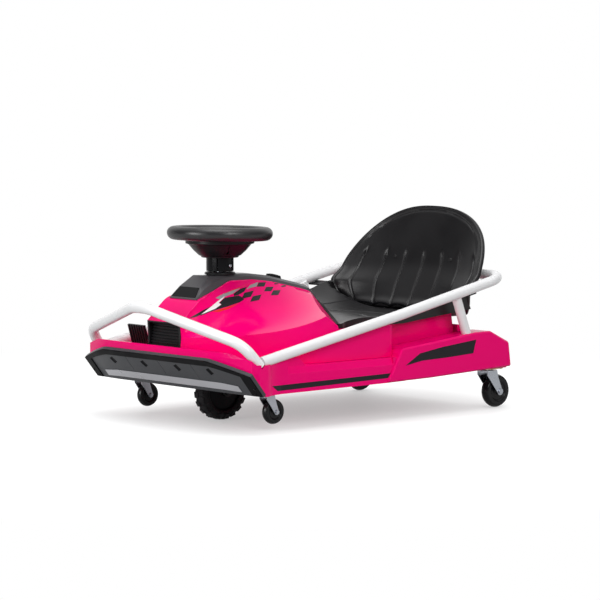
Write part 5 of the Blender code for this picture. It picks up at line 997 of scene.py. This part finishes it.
# Guard: steel tube of 27 mm, bent cold, powder coated gloss white. The front hoop goes over the feet
# and down into both corners of the tub; the rails run back from it round the seat, stayed by two posts.
TUBE_RADIUS, TUBE_SIDES, POST_RADIUS, FLAT_TURN = 0.0136, 32, 0.0125, 3.0
RAIL_X, RAIL_BEND_Y, RAIL_REAR_Y, RAIL_REAR_Z = 0.3160, 0.3360, 0.7200, 0.3540
HOOP_BENDS, RAIL_BENDS = [0.060, 0.110, 0.110, 0.060], [0.400, 0.068, 0.200, 0.200, 0.068, 0.400]
HOOP_HALF = [(0.030, -0.2580, 0.3010), (0.3100, -0.1815, 0.2235)]
HOOP_FOOT_Y = -0.1380
CORNER_DECK = 0.161 + 0.042 * 0.30
white_coat = finish_material("white_powder_coat", (0.79, 0.79, 0.80), 0.28, grain=700.0, wave=160.0,
                             bump=0.0002, strength=0.14, scuff_and_highlight_colour=(0.78, 0.78, 0.78), scuff_and_highlight_amount=0.3, mottle=0.03,
                             spread=0.07)
white_shader = white_coat.node_tree.nodes["Principled BSDF"]
white_shader.inputs["Coat Weight"].default_value = 0.3
white_shader.inputs["Coat Roughness"].default_value = 0.12


def bent(corners, radii):
    """A path with straight runs and an arc of flats at each inner corner."""
    points = [Vector(corners[0])]
    for k in range(1, len(corners) - 1):
        here = Vector(corners[k])
        behind = Vector(corners[k - 1]) - here
        ahead = Vector(corners[k + 1]) - here
        turn_by = math.pi - behind.angle(ahead)
        reach = min(radii[k - 1] * math.tan(turn_by / 2), 0.48 * min(behind.length, ahead.length))
        size = reach / math.tan(turn_by / 2)
        middle = (behind.normalized() + ahead.normalized()).normalized()
        centre = here + middle * math.hypot(size, reach)
        first = here + behind.normalized() * reach - centre
        normal = first.cross(here + ahead.normalized() * reach - centre).normalized()
        steps = max(2, round(math.degrees(turn_by) / FLAT_TURN))
        for s in range(steps + 1):
            points.append(centre + Matrix.Rotation(turn_by * s / steps, 3, normal) @ first)
    return points + [Vector(corners[-1])]


hoop_half = [Vector(p) for p in (*HOOP_HALF, (RAIL_X + 0.0065, HOOP_FOOT_Y, CORNER_DECK - 0.004))]
hoop_line = bent(mirrored(reversed(hoop_half)) + hoop_half, HOOP_BENDS)
bar_piece("front_hoop", bar_mesh(hoop_line, TUBE_RADIUS, TUBE_SIDES, white_coat), white_coat,
          ["guard_hoop"])


def rail_at(y):
    """A point of the left side rail's middle line."""
    knots = [(HOOP_FOOT_Y + 0.010, CORNER_DECK + 0.005), (RAIL_BEND_Y, 0.2705), (RAIL_REAR_Y, RAIL_REAR_Z)]
    return Vector((RAIL_X, y, along(y, knots)))


rail_half = [rail_at(y) for y in (HOOP_FOOT_Y + 0.010, RAIL_BEND_Y, RAIL_REAR_Y)]
rail_half.append(Vector((0.150, 0.7375, RAIL_REAR_Z)))
rail_line = bent(rail_half + mirrored(reversed(rail_half)), RAIL_BENDS)
bar_piece("side_rails", bar_mesh(rail_line, TUBE_RADIUS, TUBE_SIDES, white_coat), white_coat,
          ["guard_rails"])
for sign, key in ((1, "left"), (-1, "right")):
    foot = Vector((sign * 0.3000, 0.5895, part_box(f"guard_post_{key}")[0].z + 0.004))
    top = Vector((sign * 0.3040, 0.546, rail_at(0.546).z - 0.002))
    foot = foot + (foot - top).normalized() * 0.002
    bar_piece(f"stay_post_{key}", bar_mesh([foot, top], POST_RADIUS, 28, white_coat), white_coat,
              [f"guard_post_{key}"])
    dressed(f"seat_bracket_{key}", f"seat_tab_{key}", 0.0006, black_plastic, "kart", "black_satin_plastic")
    dressed(f"seat_saddle_{key}", f"bar_block_{key}", 0.0012, black_plastic, "kart", "black_satin_plastic")

# Pedal: the accelerator stands in the driver's right footwell. A ribbed black plate turns on a steel
# pin between the ears of a floor bracket, and a wire spring on the pin brings it back.
dressed("drive_pedal", "pedal_plate", 0.0005, black_plastic, "pedal", "black_satin_plastic")
dressed("pedal_bracket", "pedal_floor_bracket", 0.0005, zinc, "kart", "zinc_plated_steel")
dressed("pedal_pin", "pedal_hinge_pin", 0.0004, zinc, "kart", "zinc_plated_steel")
dressed("pedal_spring", "pedal_return_spring", 0.0001, zinc, "kart", "zinc_plated_steel", 80.0, 80.0)

# Drive wheel: a hub motor with a chunky solid tyre in a steel fork under the nose, turned by the
# steering shaft. Curved lugs stand round both shoulders of the tread.
TYRE_RADIUS, TYRE_HALF, HUB_RADIUS = 0.0750, 0.0220, 0.0510
LUGS, LUG_WIDE, LUG_LONG, LUG_DEEP = 18, 0.0084, 0.0086, 0.0030
TREAD_DROP, TREAD_OUT, SHOULDER_DROP, SHOULDER_INSET = 0.0042, 0.0092, 0.0100, 0.0054
tyre_rubber = finish_material("tyre_rubber", (0.008, 0.008, 0.009), 0.55, grain=700.0, wave=80.0,
                              strength=0.45, scuff_and_highlight_colour=(0.05, 0.05, 0.05), mottle=0.2)
hub_black = finish_material("hub_black_paint", (0.005, 0.005, 0.006), 0.45, grain=800.0, strength=0.20,
                            scuff_and_highlight_colour=(0.03, 0.03, 0.03), scuff_and_highlight_amount=0.3, shine=0.10)
wheel_centre = Vector((0, axis_y, TYRE_RADIUS))
shoulder_line = [(HUB_RADIUS - 0.0002, TYRE_HALF - 0.003), (HUB_RADIUS + 0.004, TYRE_HALF - 0.0008),
                 (TYRE_RADIUS - 0.014, TYRE_HALF - 0.0008), (TYRE_RADIUS - TREAD_DROP, TYRE_HALF - 0.008)]
carcass = [(out, -wide) for out, wide in shoulder_line]
carcass += [(TYRE_RADIUS - 0.0028, 0.0)] + shoulder_line[::-1]
tyre = turned(softened_profile(carcass, 0.004), 72, wheel_centre, "X")
add_piece("tyre_body", tyre, tyre_rubber, "drive_wheel", ["drive_tyre"], 50.0)


def lug_mesh(wide, long, deep):
    """One tread lug: narrower outwards, its top broken by a sipe, standing on z = 0."""
    rings = []
    for z, grow in ((-0.0030, 1.06), (deep * 0.72, 1.0), (deep, 0.86)):
        rings.append([(x * grow, y * grow, z) for x, y in (
            (-wide, -long), (0, -long * 0.72), (wide, -long),
            (wide, long * 0.72), (0, long), (-wide, long * 0.72))])
    mesh = skin_over(rings)
    mesh.transform(Matrix.Translation(-FROM_AXIS))
    return mesh


lug_spots = []
for k in range(LUGS):
    for side in (-1, 1):
        angle = 2 * math.pi * (k + (0.25 if side > 0 else -0.25)) / LUGS
        out = Vector((0, math.sin(angle), -math.cos(angle)))
        crown = (out + Vector((side * 0.10, 0, 0))).normalized()
        lug_spots.append((wheel_centre + out * (TYRE_RADIUS - TREAD_DROP)
                          + Vector((side * TREAD_OUT, 0, 0)), crown))
        shoulder_way = (out * 0.62 + Vector((side * 0.78, 0, 0))).normalized()
        lug_spots.append((wheel_centre + out * (TYRE_RADIUS - SHOULDER_DROP)
                          + Vector((side * (TYRE_HALF - SHOULDER_INSET), 0, 0)), shoulder_way))
set_on_points("tyre_lugs", lug_spots, lug_mesh(LUG_WIDE, LUG_LONG, LUG_DEEP), tyre_rubber, "drive_wheel")
dressed("hub_motor", "hub_motor_case", 0.0012, hub_black, "drive_wheel", "cast_aluminium")
dressed("drive_fork", "fork_weldment", 0.0010, painted_steel, "steering", "zinc_plated_steel")
dressed("drive_axle", "drive_axle_nuts", 0.0005, painted_steel, "steering", "zinc_plated_steel")
dressed("steering_shaft", "steering_column", 0.0005, zinc, "steering", "zinc_plated_steel", 40.0, 50.0)

# Steering wheel: a padded ring of soft dark foam on three spokes, over a grey-black plastic cone. A
# glossy collar under the cone is clamped to the shaft by one bright bolt.
RING_RADIUS, RING_THICK, RING_Z, RING_TILT = 0.1180, 0.0178, 0.4800, 1.2
SPOKE_Z, SEAM_TURNS = 0.4653, (-21.0, 159.0)
BOSS = [(0.0123, 0.4180), (0.0475, 0.4180), (0.0485, 0.4215), (0.0540, 0.4235), (0.0680, 0.4365),
        (0.0815, 0.4525), (0.0885, 0.4540), (0.0885, 0.4650), (0, 0.4650), (0, 0.4483), (0.0123, 0.4483)]
SEAM_CUTS = (((0.036, -0.0008, 0.4262), (0.1, 0.0008, 0.4512)),
             ((0.040, -0.0030, 0.4275), (0.1, 0.0030, 0.4345)))
foam = finish_material("wheel_foam", (0.014, 0.0135, 0.015), 0.38, grain=1300.0, wave=240.0,
                       wave_share=0.35, strength=0.30, scuff_and_highlight_colour=(0.06, 0.06, 0.06), mottle=0.12, shine=0.45)
collar_gloss = finish_material("collar_gloss", (0.003, 0.003, 0.004), 0.12, grain=1500.0, strength=0.05,
                               mottle=0.10, spread=0.04, shine=0.12)
ring_profile = []
for k in range(28):
    angle = 2 * math.pi * k / 28
    flat = 0.94 if math.sin(angle) > 0.5 else 1.0
    ring_profile.append((RING_RADIUS + RING_THICK * math.cos(angle),
                         RING_Z + RING_THICK * flat * math.sin(angle)))
ring = turned(ring_profile, 96, FROM_AXIS)
middle = Matrix.Translation((0, axis_y, RING_Z))
ring.transform(middle @ Matrix.Rotation(math.radians(-RING_TILT), 4, "X") @ middle.inverted())
pad_profile = softened_profile([(0, SPOKE_Z), (0.046, SPOKE_Z), (0.046, SPOKE_Z + 0.018),
                                (0.030, SPOKE_Z + 0.0185), (0, SPOKE_Z + 0.0170)], 0.003)
spokes = [turned(pad_profile, 56, FROM_AXIS)]
for k in range(3):
    angle = math.pi / 2 + 2 * math.pi * k / 3
    ahead = Vector((math.cos(angle), math.sin(angle), 0))
    beside = Vector((-ahead.y, ahead.x, 0))
    rings = []
    for step in range(9):
        t = step / 8
        spot = ahead * blend(0.030, RING_RADIUS - 0.004, t)
        wide = 0.015 + 0.007 * (1 - t) ** 2 + 0.004 * t ** 3
        rings.append([spot + beside * wide * share + Vector((0, 0, SPOKE_Z + rise))
                      for share, rise in ((1, 0.001), (-1, 0.001), (-0.9, 0.014), (0.9, 0.014))])
    spokes.append(skin_over(rings))
add_piece("steering_ring", cut_by(ring, spokes, "UNION"), foam, "steering",
          ["steering_rim"], crease=38.0)
boss = turned(softened_profile(BOSS[:8], 0.0016, 3) + BOSS[8:], 72, FROM_AXIS)
seams = []
for degrees in SEAM_TURNS:
    spin = Matrix.Translation(FROM_AXIS) @ Matrix.Rotation(math.radians(degrees), 4, "Z")
    for low, high in SEAM_CUTS:
        seam = box_between(low, high)
        seam.transform(Matrix.Translation(-FROM_AXIS))
        seam.transform(spin)
        seams.append(seam)
boss = cut_by(boss, seams)
add_piece("boss_cone", boss, black_plastic, "steering", ["steering_boss"],
          crease=34.0)
dressed("clamp_collar", "boss_collar", 0.0008, collar_gloss, "steering", "black_satin_plastic", 30.0, 40.0)
dressed("collar_bolt", "clamp_bolt", 0.0003, zinc, "steering", "zinc_plated_steel")

# Seat: a hard black moulding in two parts. The base lies on the deck with raised bolsters and two
# moulded lines across; the tall back is bolted to the rear bar, with a bead along its edge, seven
# flutes and a soft roll that seals its arched foot.
SEAT_HALF, SEAT_TOP_Z, SEAT_WIDE_Z, SEAT_FOOT_Z = 0.2680, 0.5310, 0.3223, 0.2535
SEAT_MIDDLE = [(SEAT_FOOT_Z, 0.6570), (0.3700, 0.7150), (0.4500, 0.7370), (SEAT_TOP_Z, 0.7570)]
SEAT_EDGE = [(SEAT_FOOT_Z, 0.6420), (SEAT_WIDE_Z, 0.6200), (0.3500, 0.6580), (SEAT_TOP_Z, 0.7570)]
SEAT_WALL, SEAT_FLUTES, FLUTE_DEPTH, FLUTE_OUT = 0.0110, 7, 0.0040, 0.84
BOLT_X, BOLT_Z, BEAD_THICK, ROLL_RADIUS, SEAL_RADIUS = 0.110, 0.388, 0.0070, 0.0036, 0.0038
PAD_REAR_Y, PAD_CUT_BACK, PAD_EVEN, BOLSTER_RISE = 0.6770, 0.0600, 0.2600, 0.0710
PAD_LINES_ACROSS, PAD_LINES_ALONG = (0.155, 0.235), (0.36, 0.68)
BOLSTER_LINE = [(0.15, 0.03), (0.30, 0.19), (0.40, 0.44), (0.54, 0.67), (0.575, 0.84), (0.620, 1.0)]
CLOSE_STEPS = (-1.6, -1.1, -0.7, -0.35, 0, 0.35, 0.7, 1.1, 1.6)
SEAT_LEAN = Vector((0, 0.90, -0.43)).normalized()
FLUTE_PITCH = 2 * FLUTE_OUT / (SEAT_FLUTES - 1)
seat_plastic = finish_material("seat_black_plastic", (0.0045, 0.004, 0.005), 0.35, grain=1200.0, wave=150.0,
                               wave_share=0.3, strength=0.28, scuff_and_highlight_colour=(0.05, 0.05, 0.055), scuff_and_highlight_amount=0.4,
                               mottle=0.14, spread=0.06, shine=0.40)


def seat_half(z):
    """Half the back's width at a height."""
    if z >= SEAT_WIDE_Z:
        t = min(1.0, (z - SEAT_WIDE_Z) / (SEAT_TOP_Z - SEAT_WIDE_Z))
        return SEAT_HALF * max(0.0, 1 - t ** 2.15) ** (1 / 2.3)
    t = min(1.0, (SEAT_WIDE_Z - z) / (SEAT_WIDE_Z - SEAT_FOOT_Z))
    return SEAT_HALF * (1 - 0.12 * t ** 1.6)


def seat_point(u, z, depth):
    """A point of the seat back: flat in the middle, curled forward to its edges."""
    half = seat_half(z)
    centre = eased(z, SEAT_MIDDLE, 0.012)
    edge = eased(z, SEAT_EDGE, 0.008)
    curl = max(0.0, centre - edge)
    y = centre - curl * abs(u) ** 3.2 * min(1.0, (half / SEAT_HALF) ** 1.7 * 1.05)
    return Vector((u * half, y, z)) + SEAT_LEAN * depth


def flute(u, z):
    """Depth of the moulded flutes: narrow lines that open into a drop at their tops."""
    t = max(0.0, (z - SEAT_WIDE_Z) / (SEAT_TOP_Z - SEAT_WIDE_Z))
    from_edge = 0.10 * max(0.0, 1 - (abs(u) * seat_half(z) / SEAT_HALF) ** 2.3 - t ** 2.15)
    welt = 0.0026 * math.exp(-((from_edge - 0.0125) / 0.0026) ** 2) * (z > SEAT_WIDE_Z - 0.02)
    top = SEAT_TOP_Z - 0.128
    if z > top + 0.012:
        return welt
    nearest = max(-FLUTE_OUT, min(FLUTE_OUT, round(u / FLUTE_PITCH) * FLUTE_PITCH))
    off = abs(u - nearest) * SEAT_HALF
    fade = max(0.0, min(1.0, (top + 0.008 - z) / 0.016))
    drop = math.exp(-((z - top + 0.004) / 0.008) ** 2)
    wide = 0.0026 + 0.0030 * drop
    pillow = 0.0011 * math.cos(2 * math.pi * (u - nearest) / FLUTE_PITCH) * fade
    return max(welt, (FLUTE_DEPTH * math.exp(-(off / wide) ** 2) + pillow) * fade)


seat_us = []
for k in range(SEAT_FLUTES + 1):
    left = -1.0 if k == 0 else -FLUTE_OUT + FLUTE_PITCH * (k - 1)
    right_u = 1.0 if k == SEAT_FLUTES else -FLUTE_OUT + FLUTE_PITCH * k
    for share in (0.0, 0.03, 0.06, 0.10, 0.16, 0.30, 0.5, 0.70, 0.84, 0.90, 0.94, 0.97):
        seat_us.append(blend(left, right_u, share))
seat_us.append(1.0)
seat_zs = [blend(SEAT_FOOT_Z, SEAT_WIDE_Z, k / 14) for k in range(14)]
seat_zs += [blend(SEAT_WIDE_Z, SEAT_TOP_Z, math.sin(math.pi / 2 * k / 44)) for k in range(44)]
seat_zs.append(SEAT_TOP_Z - 0.00012)


def seat_skin(u, z, into):
    """The back's skin: its flutes in front, and a foot that swells between them."""
    point = seat_point(u, z, into if into > 0 else flute(u, z))
    swell = abs(math.sin(math.pi * (u + FLUTE_OUT) / FLUTE_PITCH)) ** 0.6
    if into <= 0 and abs(u) < 0.86:
        point -= SEAT_LEAN * 0.0065 * swell * math.exp(-((z - SEAT_FOOT_Z - 0.010) / 0.009) ** 2)
    return point


holes = []
for x in (-BOLT_X, BOLT_X):
    spot = Vector((x, along(BOLT_Z, SEAT_MIDDLE[1:3]), BOLT_Z))
    holes.append(bar_mesh([spot - SEAT_LEAN * 0.03, spot + SEAT_LEAN * 0.05], 0.0035, 20, seat_plastic))
back_mesh = cut_by(net_solid(seat_skin, seat_us, seat_zs, 0.0, SEAT_WALL), holes)
add_piece("seat_back_shell", back_mesh, seat_plastic, "kart", ["seat_back"],
          crease=42.0)
bead_line = []
for k in range(141):
    angle = math.pi * k / 140
    z = SEAT_TOP_Z - 0.0001 - (SEAT_TOP_Z - SEAT_WIDE_Z) * (1 - math.sin(angle)) if k else SEAT_WIDE_Z
    sign = 1 if k < 70 else -1
    inset = 0.0050 * (max(0.0, z - SEAT_WIDE_Z) / (SEAT_TOP_Z - SEAT_WIDE_Z)) ** 2
    bead_line.append(seat_point(sign, max(SEAT_WIDE_Z, z), SEAT_WALL * 0.5) - Vector((0, 0, inset)))
low_part = [seat_point(1, blend(SEAT_FOOT_Z + 0.004, SEAT_WIDE_Z, k / 12), SEAT_WALL * 0.5)
            for k in range(12)]
bead_line = low_part + bead_line + mirrored(reversed(low_part))
spaced = [bead_line[0]]
for point in bead_line[1:]:
    if (point - spaced[-1]).length > 0.0035:
        spaced.append(point)
bar_piece("seat_edge_bead", bar_mesh(spaced, BEAD_THICK, 16, seat_plastic), seat_plastic)
foot_line = []
for k in range(181):
    u = blend(-0.92, 0.92, k / 180)
    arch = abs(math.sin(math.pi * (u + FLUTE_OUT) / FLUTE_PITCH)) ** 0.7
    foot_line.append(seat_point(u, SEAT_FOOT_Z + 0.0020 + 0.0060 * arch, -0.0022))
foot_seal = [seat_point(k / 40, SEAT_FOOT_Z + 0.0012, SEAT_WALL * 0.55) for k in range(-36, 37)]
foot_roll = cut_by(bar_mesh(foot_line, ROLL_RADIUS, 12, soft_black),
                   [bar_mesh(foot_seal, SEAL_RADIUS, 12, soft_black)], "UNION")
bar_piece("seat_foot_roll", foot_roll, soft_black)
seat_spots = [(seat_point(x / seat_half(BOLT_Z), BOLT_Z, -0.0002) + FROM_AXIS, -SEAT_LEAN)
              for x in (-BOLT_X, BOLT_X)]
set_on_points("seat_bolts", seat_spots, screw_head(0.0050, 0.0014), seat_plastic, "kart")


def pad_under(x, y):
    """The base's underside: on the deck, and on the ridges along its sides."""
    step = max(0.0, min(1.0, (abs(x) - 0.190) / 0.022))
    return blend(DECK_Z, ridge_z(y), step) + 0.0003


def pad_top(x, y):
    """The base's top: bolsters that rise outwards and back, a front roll and moulded lines."""
    u = abs(x) / SEAT_HALF
    rise = eased(y, BOLSTER_LINE, 0.012)
    hold = 1.0
    if u < 0.97:
        hold = max(0.0, min(1.0, (seat_point(u, 0.275, 0.0).y - 0.006 - y) / 0.030))
    front = max(0.0, y - rim_at(x)[0])
    roll = 0.008 * math.sin(math.pi * min(1.0, front / 0.15))
    top = SEAT_FOOT_Z + SEAT_LEAN.z * SEAT_WALL - 0.0003 + BOLSTER_RISE * rise * u ** 3.2 * hold + roll
    groove = 0.0
    for place in PAD_LINES_ACROSS:
        groove += math.exp(-((front - place) / 0.0035) ** 2) * (u < 0.9)
    for place in PAD_LINES_ALONG:
        behind = max(0.0, min(1.0, (front - PAD_LINES_ACROSS[0]) / 0.02))
        groove += math.exp(-((u - place) * SEAT_HALF / 0.0028) ** 2) * behind
    return top - 0.0034 * min(1.2, groove)


def pad_skin(u, t, depth):
    """The base by its distance from the rim: the first rows follow the rim, the last the rear edge."""
    x = u * (SEAT_HALF + 0.006 * (t < 0.075))
    rim_y, rim_z = rim_at(x)
    rear = PAD_REAR_Y - PAD_CUT_BACK * abs(u) ** 4
    y = rim_y + 0.0035 + PAD_EVEN * min(1.0, t)
    if t > 1:
        y = blend(y, rear, t - 1)
    if depth > 0:
        y += 0.022 * u ** 4 * (t > 1.99)
        return Vector((x, y, pad_under(x, y)))
    top = max(pad_top(x, y), pad_under(x, y) + 0.005 * (abs(x) > 0.19))
    if t < 0.005:
        top = max(top, rim_z - 0.003)
    elif t < 0.02:
        top = max(top, rim_z + 0.0018)
    return Vector((x, y, top))


def lines_with(plain, places, reach):
    """A row of grid lines, closer together where a moulded line runs."""
    close = [place + reach * step for place in places for step in CLOSE_STEPS]
    return sorted([k for k in plain if min(abs(k - place) for place in places) > 2.0 * reach] + close)


pad_us = lines_with([k / 44 for k in range(-44, 45)], [s * u for s in (-1, 1) for u in PAD_LINES_ALONG],
                    0.0034 / SEAT_HALF)
pad_ts = [0.0, 0.018, 0.034, 0.048, 0.070]
pad_ts += lines_with([blend(0.09, 1.0, k / 40) for k in range(41)],
                     [(d - 0.0035) / PAD_EVEN for d in PAD_LINES_ACROSS], 0.0038 / PAD_EVEN)
pad_ts += [1 + k / 26 for k in range(1, 27)]
seat_space = net_solid(seat_point, [-1.06] + [k / 20 for k in range(-20, 21)] + [1.06],
                       [SEAT_FOOT_Z - 0.0006] + [blend(SEAT_FOOT_Z, SEAT_WIDE_Z, k / 8)
                                                 for k in range(1, 12)], -0.0003, 0.06)
pad_mesh = cut_by(net_solid(pad_skin, pad_us, pad_ts, 0.0, 1.0), [seat_space])
add_piece("seat_base", pad_mesh, seat_plastic, "kart", ["seat_pad"], crease=42.0)
